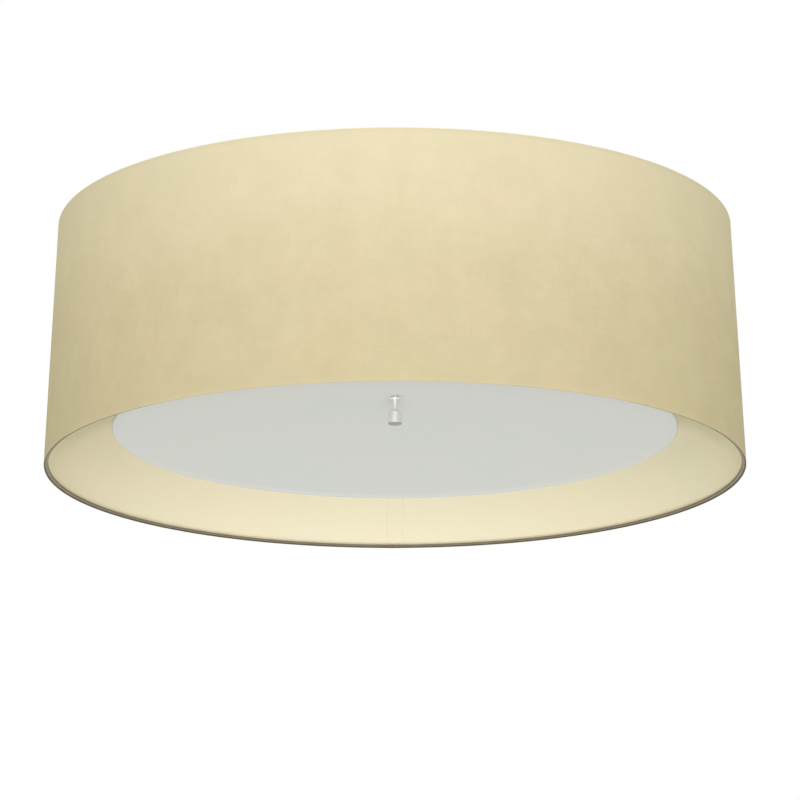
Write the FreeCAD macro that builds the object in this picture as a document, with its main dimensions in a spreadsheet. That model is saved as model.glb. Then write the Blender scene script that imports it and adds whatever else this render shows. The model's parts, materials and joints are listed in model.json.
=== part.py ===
import FreeCAD, Part
import math
import os
import Sketcher

# Flush mount ceiling light with a linen drum shade and a dished diffuser.
# Millimetres. The ceiling is the plane z = 0, the light hangs down from it along -Z,
# and the origin is the middle of the junction box on that plane.

LAMP_COUNT = 3
STUD_COUNT = 2
TURN = 360.0  # degrees

SIZES = {
    # drum shade
    "shade_bottom_diameter": 508.0,
    "shade_top_diameter": 493.0,
    "shade_depth": 180.0,
    "ceiling_gap": 6.0,
    "fabric_thickness": 0.8,
    "glue_gap": 0.05,
    "liner_thickness": 0.5,
    "edging_thickness": 0.6,
    "bottom_wire_diameter": 1.8,
    "top_wire_diameter": 3.6,
    "seam_width": 12.0,
    "seam_thickness": 0.4,
    # ceiling pan
    "pan_depth": 22.0,
    "pan_wall": 0.9,
    "pan_corner_radius": 6.0,
    "pad_inner_diameter": 156.0,
    "pad_outer_diameter": 280.0,
    "pad_thickness": 5.0,
    "pad_rim_clearance": 9.1,
    # crossbar and what hangs the pan on it
    "crossbar_length": 150.0,
    "crossbar_width": 22.0,
    "crossbar_thickness": 1.8,
    "box_screw_spacing": 88.9,
    "box_slot_width": 4.4,
    "box_slot_length": 10.0,
    "stud_spacing": 120.0,
    "stud_diameter": 4.0,
    "stud_below_pan": 6.0,
    "cap_nut_diameter": 8.0,
    "cap_nut_length": 8.5,
    "ground_screw_offset": 16.0,
    "ground_screw_diameter": 4.0,
    "ground_head_diameter": 8.0,
    "ground_head_height": 2.4,
    # centre rod and its fasteners
    "rod_diameter": 9.7,
    "rod_bore": 6.0,
    "rod_above_pan": 9.0,
    "nut_across_flats": 14.0,
    "nut_thickness": 4.5,
    "washer_diameter": 22.0,
    "washer_thickness": 1.2,
    "thread_clearance": 0.05,
    "hole_clearance": 0.3,
    # spider that carries the shade
    "hub_diameter": 52.0,
    "hub_thickness": 1.6,
    "arm_wire_diameter": 3.6,
    "arm_inner_radius": 14.0,
    "arm_pan_clearance": 18.0,
    "arm_bend_radius": 12.0,
    "weld_gap": 0.1,
    # lampholders on their brackets
    "holder_back_radius": 40.0,
    "lamp_axis_depth": 66.0,
    "bracket_width": 26.0,
    "bracket_thickness": 1.2,
    "bracket_flange": 26.0,
    "bracket_below_axis": 14.0,
    "rivet_diameter": 3.2,
    "rivet_head_diameter": 6.0,
    "rivet_head_height": 1.2,
    "rivet_spacing": 14.0,
    "holder_diameter": 37.0,
    "holder_lip_diameter": 40.0,
    "holder_lip_length": 5.0,
    "holder_length": 44.0,
    "holder_floor": 8.0,
    "holder_screw_spacing": 20.0,
    "holder_screw_diameter": 3.0,
    "holder_screw_length": 8.0,
    "holder_screw_head": 5.6,
    "shell_wall": 0.5,
    "shell_recess": 2.0,
    "shell_base_hole": 18.0,
    "contact_width": 6.0,
    "contact_thickness": 0.5,
    "contact_half_height": 6.0,
    # lamps
    "bulb_clearance": 0.3,
    "cap_diameter": 26.2,
    "cap_length": 25.0,
    "cap_wall": 0.4,
    "foot_length": 4.0,
    "foot_tip_diameter": 9.0,
    "bulb_diameter": 60.0,
    "bulb_length": 108.0,
    "housing_length": 32.0,
    "housing_top_diameter": 57.0,
    "dome_wall": 1.2,
    # lead bushings in the pan
    "bushing_radius_out": 71.0,
    "bushing_angle": 20.0,
    "bushing_bore": 6.0,
    "bushing_wall": 1.6,
    "bushing_flange": 2.0,
    "bushing_above_pan": 2.0,
    # diffuser, its seat and its finial
    "diffuser_diameter": 411.0,
    "diffuser_thickness": 2.5,
    "diffuser_rim_above_edge": 28.5,
    "diffuser_rise": 27.0,
    "diffuser_bead_diameter": 4.0,
    "diffuser_hole": 5.0,
    "seat_across_flats": 14.0,
    "seat_length": 20.0,
    "seat_flange_diameter": 32.0,
    "seat_flange_thickness": 2.0,
    "seat_rod_depth": 8.0,
    "seat_thread_depth": 9.0,
    "cushion_thickness": 1.0,
    "clear_washer_diameter": 14.0,
    "clear_washer_thickness": 1.0,
    "contact_gap": 0.05,
    "finial_thread_diameter": 4.0,
    "finial_thread_end_gap": 1.0,
    "finial_collar_diameter": 6.0,
    "finial_collar_thickness": 0.6,
    "finial_neck_diameter": 3.6,
    "finial_neck_length": 8.2,
    "finial_barrel_diameter": 10.2,
    "finial_barrel_length": 11.0,
    "finial_shoulder": 2.2,
    "finial_edge": 0.5,
}


class Dim:
    """A size that keeps its value and the sheet expression that gives it."""

    def __init__(self, value, text):
        self.value = value
        self.text = text

    def __add__(self, other):
        return Dim(self.value + number(other), f"({self.text} + {words(other)})")

    def __radd__(self, other):
        return Dim(number(other) + self.value, f"({words(other)} + {self.text})")

    def __sub__(self, other):
        return Dim(self.value - number(other), f"({self.text} - {words(other)})")

    def __rsub__(self, other):
        return Dim(number(other) - self.value, f"({words(other)} - {self.text})")

    def __mul__(self, other):
        return Dim(self.value * number(other), f"({self.text} * {words(other)})")

    def __rmul__(self, other):
        return Dim(number(other) * self.value, f"({words(other)} * {self.text})")

    def __truediv__(self, other):
        return Dim(self.value / number(other), f"({self.text} / {words(other)})")

    def __rtruediv__(self, other):
        return Dim(number(other) / self.value, f"({words(other)} / {self.text})")

    def __neg__(self):
        return Dim(-self.value, f"(0 - {self.text})")


def root(size):
    return Dim(math.sqrt(size.value), f"sqrt({size.text})")


def number(size):
    return size.value if isinstance(size, Dim) else float(size)


def words(size):
    return size.text if isinstance(size, Dim) else repr(float(size))


ZERO = Dim(0.0, "0")

doc = FreeCAD.newDocument("ceiling_light")
sheet = doc.addObject("Spreadsheet::Sheet", "Sizes")
for row, (alias, value) in enumerate(SIZES.items(), 1):
    sheet.set(f"A{row}", str(value))
    sheet.setAlias(f"A{row}", alias)
doc.recompute()


def size(alias):
    return Dim(float(SIZES[alias]), f"Sizes.{alias}")


# ---------------------------------------------------------------- sketch helpers


def new_body(name):
    body = doc.addObject("PartDesign::Body", name)
    body.Label = name
    body.AllowCompound = True
    return body


def turned_about_z(body, degrees):
    """Turns a finished body about the light's own axis."""
    body.Placement = FreeCAD.Placement(
        FreeCAD.Vector(0, 0, 0), FreeCAD.Rotation(FreeCAD.Vector(0, 0, 1), degrees)
    )


def origin_part(body, role):
    return [part for part in body.Origin.OriginFeatures if part.Role == role][0]


def sketch_on(body, role, shift=(0, 0, 0)):
    """A sketch on one of the body's own planes, shifted in the sketch's axes."""
    sketch = body.newObject("Sketcher::SketchObject", f"{body.Name}_sketch")
    sketch.AttachmentSupport = [(origin_part(body, role), "")]
    sketch.MapMode = "FlatFace"
    for axis, amount in zip("xyz", shift):
        if isinstance(amount, Dim):
            sketch.setExpression(f"AttachmentOffset.Base.{axis}", amount.text)
    return sketch


def hold_length(sketch, kind, geometry, point, amount):
    """Ties one coordinate of a point to a size."""
    constraint = Sketcher.Constraint(kind, geometry, point, number(amount))
    index = sketch.addConstraint(constraint)
    if isinstance(amount, Dim):
        sketch.setExpression(f"Constraints[{index}]", amount.text)


def hold_point(sketch, geometry, point, x, y):
    hold_length(sketch, "DistanceX", geometry, point, x)
    hold_length(sketch, "DistanceY", geometry, point, y)


def vector(point):
    return FreeCAD.Vector(number(point[0]), number(point[1]), 0)


def outline(sketch, points, arcs=None, closed=True):
    """An outline of straight edges through the points, closed back to the first.

    arcs maps the number of an edge to (centre, clockwise) where that edge is an arc.
    """
    arcs = arcs or {}
    edges = []
    for index in range(len(points) if closed else len(points) - 1):
        start = points[index]
        end = points[(index + 1) % len(points)]
        if index not in arcs:
            line = Part.LineSegment(vector(start), vector(end))
            edges.append((sketch.addGeometry(line), 1, 2))
            continue
        centre, clockwise = arcs[index]
        middle = vector(centre)
        first, last = (end, start) if clockwise else (start, end)
        away = [vector(point) - middle for point in (first, last)]
        angles = [math.atan2(arm.y, arm.x) for arm in away]
        circle = Part.Circle(middle, FreeCAD.Vector(0, 0, 1), away[0].Length)
        arc = sketch.addGeometry(Part.ArcOfCircle(circle, *angles))
        edges.append((arc, 2, 1) if clockwise else (arc, 1, 2))
    for index, (edge, start, end) in enumerate(edges):
        hold_point(sketch, edge, start, *points[index])
        if not closed and index == len(edges) - 1:
            hold_point(sketch, edge, end, *points[-1])
            break
        following, its_start, _ = edges[(index + 1) % len(edges)]
        sketch.addConstraint(
            Sketcher.Constraint("Coincident", edge, end, following, its_start)
        )
    for index, (centre, _) in arcs.items():
        chord = vector(points[(index + 1) % len(points)]) - vector(points[index])
        level_chord = abs(chord.x) > abs(chord.y)
        kind, amount = ("DistanceY", centre[1]) if level_chord else ("DistanceX", centre[0])
        hold_length(sketch, kind, edges[index][0], 3, amount)


def circle(sketch, x, y, radius):
    shape = Part.Circle(vector((x, y)), FreeCAD.Vector(0, 0, 1), number(radius))
    index = sketch.addGeometry(shape)
    hold_point(sketch, index, 3, x, y)
    held = sketch.addConstraint(Sketcher.Constraint("Radius", index, number(radius)))
    if isinstance(radius, Dim):
        sketch.setExpression(f"Constraints[{held}]", radius.text)


def rectangle(sketch, left, low, right, high):
    outline(sketch, [(left, low), (right, low), (right, high), (left, high)])


def hexagon(sketch, across_flats):
    """A hexagon about the sketch's origin, with two flats along its X axis."""
    half_side = across_flats / (2 * math.sqrt(3))
    half_flats = across_flats / 2
    corners = [
        (half_side, half_flats),
        (-half_side, half_flats),
        (-2 * half_side, ZERO),
        (-half_side, -half_flats),
        (half_side, -half_flats),
        (2 * half_side, ZERO),
    ]
    outline(sketch, corners)


def revolve(body, sketch, axis="V_Axis", angle=TURN):
    feature = body.newObject("PartDesign::Revolution", f"{body.Name}_turned")
    feature.Profile = sketch
    feature.ReferenceAxis = (sketch, [axis])
    feature.Angle = angle
    return feature


def pad(body, sketch, length, both_ways=False):
    feature = body.newObject("PartDesign::Pad", f"{body.Name}_pad")
    feature.Profile = sketch
    feature.setExpression("Length", words(length))
    feature.Midplane = both_ways
    return feature


def cut_through(body, sketch):
    feature = body.newObject("PartDesign::Pocket", f"{body.Name}_holes")
    feature.Profile = sketch
    feature.Type = "ThroughAll"
    feature.Midplane = True
    return feature


def polar_copies(body, feature, count):
    """Copies of a feature evenly round the light's own axis."""
    pattern = body.newObject("PartDesign::PolarPattern", f"{body.Name}_copies")
    pattern.Originals = [feature]
    pattern.Axis = (origin_part(body, "Z_Axis"), [""])
    pattern.Angle = TURN
    pattern.Occurrences = count
    body.Tip = pattern
    return pattern


def ring_pad(body, low, height, outer_radius, inner_radius):
    """A flat round washer about the light's own axis."""
    sketch = sketch_on(body, "XY_Plane", (0, 0, low))
    circle(sketch, ZERO, ZERO, outer_radius)
    circle(sketch, ZERO, ZERO, inner_radius)
    return pad(body, sketch, height)


def lamp_angle(index):
    return index * TURN / LAMP_COUNT


def arm_angle(index):
    return lamp_angle(index) + TURN / LAMP_COUNT / 2


# ---------------------------------------------------------------- shared levels and radii

pan_under = -size("pan_depth")
pan_inside = pan_under + size("pan_wall")
shade_top = -size("ceiling_gap")
shade_bottom = shade_top - size("shade_depth")
cover_top = shade_top - size("edging_thickness")
cover_bottom = shade_bottom + size("edging_thickness")
taper = (size("shade_bottom_diameter") - size("shade_top_diameter")) / (
    2 * size("shade_depth")
)
liner_offset = size("fabric_thickness") + size("glue_gap")
wall_offset = liner_offset + size("liner_thickness")


def shade_radius(level, inset=0.0):
    """The radius of the tapered shade at a level, inset from its outer face."""
    return size("shade_top_diameter") / 2 + (shade_top - level) * taper - inset


pan_radius = size("pad_outer_diameter") / 2 + size("pad_rim_clearance") + size("pan_wall")
rod_radius = size("rod_diameter") / 2
rod_hole_radius = rod_radius + size("thread_clearance")
rod_top = pan_inside + size("rod_above_pan")
hub_under = pan_under - size("hub_thickness")

rim_level = shade_bottom + size("diffuser_rim_above_edge")
dish_under = rim_level + size("diffuser_rise")
dish_top = dish_under + size("diffuser_thickness")
seat_under = dish_top + size("cushion_thickness") + size("contact_gap")
seat_top = seat_under + size("seat_length")
rod_end = seat_top - size("seat_rod_depth")
clear_washer_under = (
    dish_under - size("contact_gap") - size("clear_washer_thickness")
)

lamp_level = -size("lamp_axis_depth")
holder_back = size("holder_back_radius")
holder_mouth = holder_back + size("holder_length")
holder_floor = holder_back + size("holder_floor")
cap_radius = size("cap_diameter") / 2
shell_inner_radius = cap_radius + size("bulb_clearance")
shell_outer_radius = shell_inner_radius + size("shell_wall")
holder_bore_radius = shell_outer_radius + size("weld_gap")
cap_end = holder_mouth + size("bulb_clearance")
cap_start = cap_end - size("cap_length")
foot_tip = cap_start - size("foot_length")
bulb_tip = foot_tip + size("bulb_length")
housing_end = cap_end + size("housing_length")
bracket_bend = holder_back - size("bracket_thickness")
rivet_line = holder_back + size("bracket_flange") / 2

# ---------------------------------------------------------------- hanging hardware


def make_crossbar():
    """Flat bar along Y that screws to the junction box and holds the two studs."""
    body = new_body("crossbar")
    sketch = sketch_on(body, "XY_Plane", (0, 0, -size("crossbar_thickness")))
    half_width = size("crossbar_width") / 2
    half_length = size("crossbar_length") / 2
    rectangle(sketch, -half_width, -half_length, half_width, half_length)
    pad(body, sketch, size("crossbar_thickness"))
    holes = sketch_on(body, "XY_Plane")
    fit = size("thread_clearance")
    for side in (-1, 1):
        stud_radius = size("stud_diameter") / 2 + fit
        circle(holes, ZERO, side * size("stud_spacing") / 2, stud_radius)
    circle(holes, ZERO, size("ground_screw_offset"), size("ground_screw_diameter") / 2 + fit)
    cut_through(body, holes)
    for side in (-1, 1):
        middle = side * size("box_screw_spacing") / 2
        radius = size("box_slot_width") / 2
        reach = size("box_slot_length") / 2 - radius
        slot = sketch_on(body, "XY_Plane")
        points = [
            (radius, middle - reach),
            (radius, middle + reach),
            (-radius, middle + reach),
            (-radius, middle - reach),
        ]
        rounds = {1: ((ZERO, middle + reach), False), 3: ((ZERO, middle - reach), False)}
        outline(slot, points, rounds)
        cut_through(body, slot)
    return body


def make_ground_screw():
    body = new_body("ground_screw")
    sketch = sketch_on(body, "YZ_Plane", (size("ground_screw_offset"), 0, 0))
    shank = size("ground_screw_diameter") / 2
    head = size("ground_head_diameter") / 2
    under = -size("crossbar_thickness")
    base = under - size("ground_head_height")
    points = [
        (ZERO, ZERO),
        (shank, ZERO),
        (shank, under),
        (head, under),
        (head, base),
        (ZERO, base),
    ]
    outline(sketch, points)
    revolve(body, sketch)
    return body


def make_pan_studs():
    """Two threaded studs that stand down from the crossbar through the pan."""
    body = new_body("pan_studs")
    low = pan_under - size("stud_below_pan")
    sketch = sketch_on(body, "XY_Plane", (0, 0, low))
    for side in (-1, 1):
        circle(sketch, ZERO, side * size("stud_spacing") / 2, size("stud_diameter") / 2)
    pad(body, sketch, -low)
    return body


def make_pan_cap_nuts():
    """Two domed nuts that pull the pan up against the ceiling."""
    body = new_body("pan_cap_nuts")
    sketch = sketch_on(body, "YZ_Plane", (size("stud_spacing") / 2, 0, 0))
    radius = size("cap_nut_diameter") / 2
    bore = size("stud_diameter") / 2 + size("thread_clearance")
    bore_end = pan_under - size("stud_below_pan") - size("thread_clearance")
    low = pan_under - size("cap_nut_length")
    points = [
        (bore, pan_under),
        (radius, pan_under),
        (radius, low + radius),
        (ZERO, low),
        (ZERO, bore_end),
        (bore, bore_end),
    ]
    outline(sketch, points, {2: ((ZERO, low + radius), True)})
    nut = revolve(body, sketch)
    polar_copies(body, nut, STUD_COUNT)
    return body


def make_ceiling_pan():
    """Spun steel dish, open towards the ceiling, that carries everything below it."""
    body = new_body("ceiling_pan")
    sketch = sketch_on(body, "XZ_Plane")
    radius = pan_radius
    wall = size("pan_wall")
    corner = size("pan_corner_radius")
    hole = rod_hole_radius + size("hole_clearance")
    points = [
        (hole, pan_under),
        (radius - corner, pan_under),
        (radius, pan_under + corner),
        (radius, ZERO),
        (radius - wall, ZERO),
        (radius - wall, pan_under + corner),
        (radius - corner, pan_inside),
        (hole, pan_inside),
    ]
    centre = (radius - corner, pan_under + corner)
    outline(sketch, points, {1: (centre, False), 5: (centre, True)})
    revolve(body, sketch)
    holes = sketch_on(body, "XY_Plane")
    for side in (-1, 1):
        stud_radius = size("stud_diameter") / 2 + size("hole_clearance")
        circle(holes, ZERO, side * size("stud_spacing") / 2, stud_radius)
    bushing_radius = bushing_barrel_radius() + size("thread_clearance")
    rivet_radius = size("rivet_diameter") / 2 + size("thread_clearance")
    for index in range(LAMP_COUNT):
        along = math.radians(lamp_angle(index))
        offset = math.radians(lamp_angle(index) + SIZES["bushing_angle"])
        reach = size("bushing_radius_out")
        circle(holes, reach * math.cos(offset), reach * math.sin(offset), bushing_radius)
        for side in (-1, 1):
            across = side * size("rivet_spacing") / 2
            x = rivet_line * math.cos(along) - across * math.sin(along)
            y = rivet_line * math.sin(along) + across * math.cos(along)
            circle(holes, x, y, rivet_radius)
    cut_through(body, holes)
    return body


def bushing_barrel_radius():
    return size("bushing_bore") / 2 + size("bushing_wall")


def make_lead_bushings():
    """Snap bushings where each lampholder's leads come down through the pan."""
    body = new_body("lead_bushings")
    sketch = sketch_on(body, "XZ_Plane", (size("bushing_radius_out"), 0, 0))
    bore = size("bushing_bore") / 2
    barrel = bushing_barrel_radius()
    flange = barrel + size("bushing_flange")
    low = pan_under - size("bushing_wall")
    high = pan_inside + size("bushing_above_pan")
    points = [
        (bore, low),
        (flange, low),
        (flange, pan_under),
        (barrel, pan_under),
        (barrel, high),
        (bore, high),
    ]
    outline(sketch, points)
    bushing = revolve(body, sketch)
    polar_copies(body, bushing, LAMP_COUNT)
    turned_about_z(body, SIZES["bushing_angle"])
    return body


def make_insulation_pad():
    """Glass fibre ring on the pan's floor that keeps lamp heat off the ceiling."""
    body = new_body("insulation_pad")
    inner = size("pad_inner_diameter") / 2
    outer = size("pad_outer_diameter") / 2
    ring_pad(body, pan_inside, size("pad_thickness"), outer, inner)
    return body


# ---------------------------------------------------------------- centre rod


def make_centre_rod():
    body = new_body("centre_rod")
    ring_pad(body, rod_end, rod_top - rod_end, rod_radius, size("rod_bore") / 2)
    return body


def make_rod_washers():
    """One washer above the pan and one below the spider's hub."""
    body = new_body("rod_washers")
    thick = size("washer_thickness")
    radius = size("washer_diameter") / 2
    for low in (pan_inside, hub_under - thick):
        ring_pad(body, low, thick, radius, rod_hole_radius)
    return body


def make_rod_nuts():
    """Nuts above the pan and below the hub, and a lock nut on the diffuser's seat."""
    body = new_body("rod_nuts")
    thick = size("nut_thickness")
    levels = (
        pan_inside + size("washer_thickness"),
        hub_under - size("washer_thickness") - thick,
        seat_top,
    )
    for low in levels:
        sketch = sketch_on(body, "XY_Plane", (0, 0, low))
        hexagon(sketch, size("nut_across_flats"))
        circle(sketch, ZERO, ZERO, rod_hole_radius)
        pad(body, sketch, thick)
    return body


def make_diffuser_seat():
    """Flanged coupling on the rod's end: the diffuser is pulled up against it."""
    body = new_body("diffuser_seat")
    sketch = sketch_on(body, "XY_Plane", (0, 0, seat_under))
    hexagon(sketch, size("seat_across_flats"))
    pad(body, sketch, size("seat_length"))
    flange = sketch_on(body, "XY_Plane", (0, 0, seat_under))
    circle(flange, ZERO, ZERO, size("seat_flange_diameter") / 2)
    pad(body, flange, size("seat_flange_thickness"))
    bore = sketch_on(body, "XZ_Plane")
    thread_radius = size("finial_thread_diameter") / 2 + size("thread_clearance")
    thread_end = seat_under + size("seat_thread_depth")
    points = [
        (ZERO, seat_under),
        (thread_radius, seat_under),
        (thread_radius, thread_end),
        (ZERO, thread_end),
    ]
    outline(bore, points)
    groove(body, bore)
    socket = sketch_on(body, "XZ_Plane")
    points = [(ZERO, rod_end), (rod_hole_radius, rod_end), (rod_hole_radius, seat_top), (ZERO, seat_top)]
    outline(socket, points)
    groove(body, socket)
    return body


def groove(body, sketch):
    feature = body.newObject("PartDesign::Groove", f"{body.Name}_bore")
    feature.Profile = sketch
    feature.ReferenceAxis = (sketch, ["V_Axis"])
    feature.Angle = TURN
    return feature


def make_cushion_washer():
    """Soft washer stuck under the seat's flange."""
    body = new_body("cushion_washer")
    hole = size("finial_thread_diameter") / 2 + size("hole_clearance")
    low = seat_under - size("cushion_thickness")
    ring_pad(body, low, size("cushion_thickness"), size("seat_flange_diameter") / 2, hole)
    return body


# ---------------------------------------------------------------- spider and shade


def make_spider_hub():
    body = new_body("spider_hub")
    ring_pad(body, hub_under, size("hub_thickness"), size("hub_diameter") / 2, rod_hole_radius)
    return body


def top_ring_level():
    return cover_top - size("top_wire_diameter") / 2


def top_ring_radius():
    level = top_ring_level()
    return shade_radius(level, wall_offset + size("weld_gap")) - size("top_wire_diameter") / 2


def make_spider_arm(index):
    """Bent wire welded under the hub, running out under the pan and up to the top ring."""
    body = new_body(f"spider_arm_{index + 1}")
    wire = size("arm_wire_diameter") / 2
    level = hub_under - wire
    bend_x = pan_radius + size("arm_pan_clearance")
    bend = size("arm_bend_radius")
    run = top_ring_radius() - bend_x
    rise = top_ring_level() - level
    slope = root(run * run + rise * rise)
    along, up = run / slope, rise / slope
    tangent = bend * up / (1 + along)
    short = size("top_wire_diameter") / 2 + size("weld_gap")
    path = sketch_on(body, "XZ_Plane")
    points = [
        (size("arm_inner_radius"), level),
        (bend_x - tangent, level),
        (bend_x + tangent * along, level + tangent * up),
        (top_ring_radius() - short * along, top_ring_level() - short * up),
    ]
    outline(path, points, {1: ((bend_x - tangent, level + bend), False)}, closed=False)
    section = sketch_on(body, "YZ_Plane", (0, level, size("arm_inner_radius")))
    circle(section, ZERO, ZERO, wire)
    pipe = body.newObject("PartDesign::AdditivePipe", f"{body.Name}_wire")
    pipe.Profile = section
    pipe.Spine = (path, [])
    turned_about_z(body, arm_angle(index))
    return body


def make_wire_ring(name, radius, level, wire_diameter):
    """A closed hoop of wire about the light's own axis."""
    body = new_body(name)
    sketch = sketch_on(body, "XZ_Plane")
    circle(sketch, radius, level, wire_diameter / 2)
    revolve(body, sketch)
    return body


def make_top_ring():
    return make_wire_ring(
        "top_ring", top_ring_radius(), top_ring_level(), size("top_wire_diameter")
    )


def bottom_ring_radius(level):
    return shade_radius(level, wall_offset + size("weld_gap")) - size("bottom_wire_diameter") / 2


def make_bottom_ring():
    level = cover_bottom + size("bottom_wire_diameter") / 2
    radius = bottom_ring_radius(level)
    return make_wire_ring("bottom_ring", radius, level, size("bottom_wire_diameter"))


def make_tapered_shell(name, outer_inset, inner_inset, low, high, angle=TURN):
    """A thin tapered wall between two insets from the shade's outer face."""
    body = new_body(name)
    sketch = sketch_on(body, "XZ_Plane")
    points = [
        (shade_radius(low, inner_inset), low),
        (shade_radius(low, outer_inset), low),
        (shade_radius(high, outer_inset), high),
        (shade_radius(high, inner_inset), high),
    ]
    outline(sketch, points)
    revolve(body, sketch, angle=angle)
    return body


def make_shade_fabric():
    return make_tapered_shell(
        "shade_fabric", ZERO, size("fabric_thickness"), cover_bottom, cover_top
    )


def make_shade_liner():
    return make_tapered_shell("shade_liner", liner_offset, wall_offset, cover_bottom, cover_top)


def make_shade_seam():
    """The liner's overlapped joint: a narrow strip up the far side, inside."""
    radius = size("shade_bottom_diameter") / 2
    spread = math.degrees(SIZES["seam_width"] / radius.value)
    outer = wall_offset + size("weld_gap")
    low = cover_bottom + size("bottom_wire_diameter") + size("hole_clearance")
    high = cover_top - size("top_wire_diameter") - size("hole_clearance")
    inner = outer + size("seam_thickness")
    body = make_tapered_shell("shade_seam", outer, inner, low, high, spread)
    turned_about_z(body, TURN / 4 - spread / 2)
    return body


def make_edging(name, low, wire_diameter):
    """Flat edging that closes the fabric, the liner and the wire at one end."""
    body = new_body(name)
    outer = shade_radius(low + size("edging_thickness") / 2)
    width = wall_offset + size("weld_gap") + wire_diameter
    ring_pad(body, low, size("edging_thickness"), outer, outer - width)
    return body


def make_top_edging():
    return make_edging("top_edging", cover_top, size("top_wire_diameter"))


def make_bottom_edging():
    return make_edging("bottom_edging", shade_bottom, size("bottom_wire_diameter"))


# ---------------------------------------------------------------- lampholders


def make_bracket(index):
    """Steel angle riveted under the pan, with the lampholder on its upright leg."""
    body = new_body(f"holder_bracket_{index + 1}")
    sketch = sketch_on(body, "XZ_Plane")
    thick = size("bracket_thickness")
    low = lamp_level - size("bracket_below_axis")
    end = holder_back + size("bracket_flange")
    points = [
        (bracket_bend, low),
        (holder_back, low),
        (holder_back, pan_under - thick),
        (end, pan_under - thick),
        (end, pan_under),
        (bracket_bend, pan_under),
    ]
    outline(sketch, points)
    pad(body, sketch, size("bracket_width"), both_ways=True)
    fit = size("thread_clearance")
    rivet_holes = sketch_on(body, "XY_Plane")
    screw_holes = sketch_on(body, "YZ_Plane", (0, lamp_level, 0))
    for side in (-1, 1):
        across = side * size("rivet_spacing") / 2
        circle(rivet_holes, rivet_line, across, size("rivet_diameter") / 2 + fit)
        beside = side * size("holder_screw_spacing") / 2
        circle(screw_holes, beside, ZERO, size("holder_screw_diameter") / 2 + fit)
    cut_through(body, rivet_holes)
    cut_through(body, screw_holes)
    turned_about_z(body, lamp_angle(index))
    return body


def make_bracket_rivets():
    """Two rivets for each bracket, with a head on both sides of the joint."""
    body = new_body("bracket_rivets")
    head = size("rivet_head_diameter") / 2
    height = size("rivet_head_height")
    shank = size("rivet_diameter") / 2
    under = pan_under - size("bracket_thickness")
    across = size("rivet_spacing") / 2
    points = [
        (ZERO, under - height),
        (head, under - height),
        (head, under),
        (shank, under),
        (shank, pan_inside),
        (head, pan_inside),
        (head, pan_inside + height),
        (ZERO, pan_inside + height),
    ]
    rivets = []
    for side in (-1, 1):
        sketch = sketch_on(body, "XZ_Plane", (rivet_line, 0, side * across))
        outline(sketch, points)
        rivets.append(revolve(body, sketch))
    pattern = polar_copies(body, rivets[0], LAMP_COUNT)
    pattern.Originals = rivets
    return body


def make_lampholder(index):
    """Porcelain cup with a back wall, screwed to its bracket."""
    body = new_body(f"lampholder_{index + 1}")
    sketch = sketch_on(body, "XZ_Plane", (0, lamp_level, 0))
    radius = size("holder_diameter") / 2
    lip = size("holder_lip_diameter") / 2
    lip_start = holder_mouth - size("holder_lip_length")
    points = [
        (holder_back, ZERO),
        (holder_back, radius),
        (lip_start - (lip - radius), radius),
        (lip_start, lip),
        (holder_mouth, lip),
        (holder_mouth, holder_bore_radius),
        (holder_floor, holder_bore_radius),
        (holder_floor, ZERO),
    ]
    outline(sketch, points)
    revolve(body, sketch, "H_Axis")
    screws = sketch_on(body, "YZ_Plane", (0, lamp_level, holder_back))
    bore = size("holder_screw_diameter") / 2 + size("thread_clearance")
    for side in (-1, 1):
        circle(screws, side * size("holder_screw_spacing") / 2, ZERO, bore)
    pocket = body.newObject("PartDesign::Pocket", f"{body.Name}_screw_holes")
    pocket.Profile = screws
    pocket.Reversed = True
    depth = size("holder_screw_length") - size("bracket_thickness") + size("hole_clearance")
    pocket.setExpression("Length", depth.text)
    turned_about_z(body, lamp_angle(index))
    return body


def make_holder_screws():
    """Two screws through each bracket into the back of its lampholder."""
    body = new_body("holder_screws")
    head = size("holder_screw_head") / 2
    shank = size("holder_screw_diameter") / 2
    end = bracket_bend + size("holder_screw_length")
    beside = size("holder_screw_spacing") / 2
    points = [
        (bracket_bend - shank, ZERO),
        (bracket_bend - shank, head),
        (bracket_bend, head),
        (bracket_bend, shank),
        (end, shank),
        (end, ZERO),
    ]
    screws = []
    for side in (-1, 1):
        sketch = sketch_on(body, "XZ_Plane", (0, lamp_level, side * beside))
        outline(sketch, points)
        screws.append(revolve(body, sketch, "H_Axis"))
    pattern = polar_copies(body, screws[0], LAMP_COUNT)
    pattern.Originals = screws
    return body


def make_screw_shell(index):
    """Thin metal sleeve in the lampholder that takes the lamp's cap."""
    body = new_body(f"screw_shell_{index + 1}")
    sketch = sketch_on(body, "XZ_Plane", (0, lamp_level, 0))
    wall = size("shell_wall")
    base = size("shell_base_hole") / 2
    mouth = holder_mouth - size("shell_recess")
    points = [
        (holder_floor, base),
        (holder_floor, shell_outer_radius),
        (mouth, shell_outer_radius),
        (mouth, shell_inner_radius),
        (holder_floor + wall, shell_inner_radius),
        (holder_floor + wall, base),
    ]
    outline(sketch, points)
    revolve(body, sketch, "H_Axis")
    turned_about_z(body, lamp_angle(index))
    return body


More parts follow.
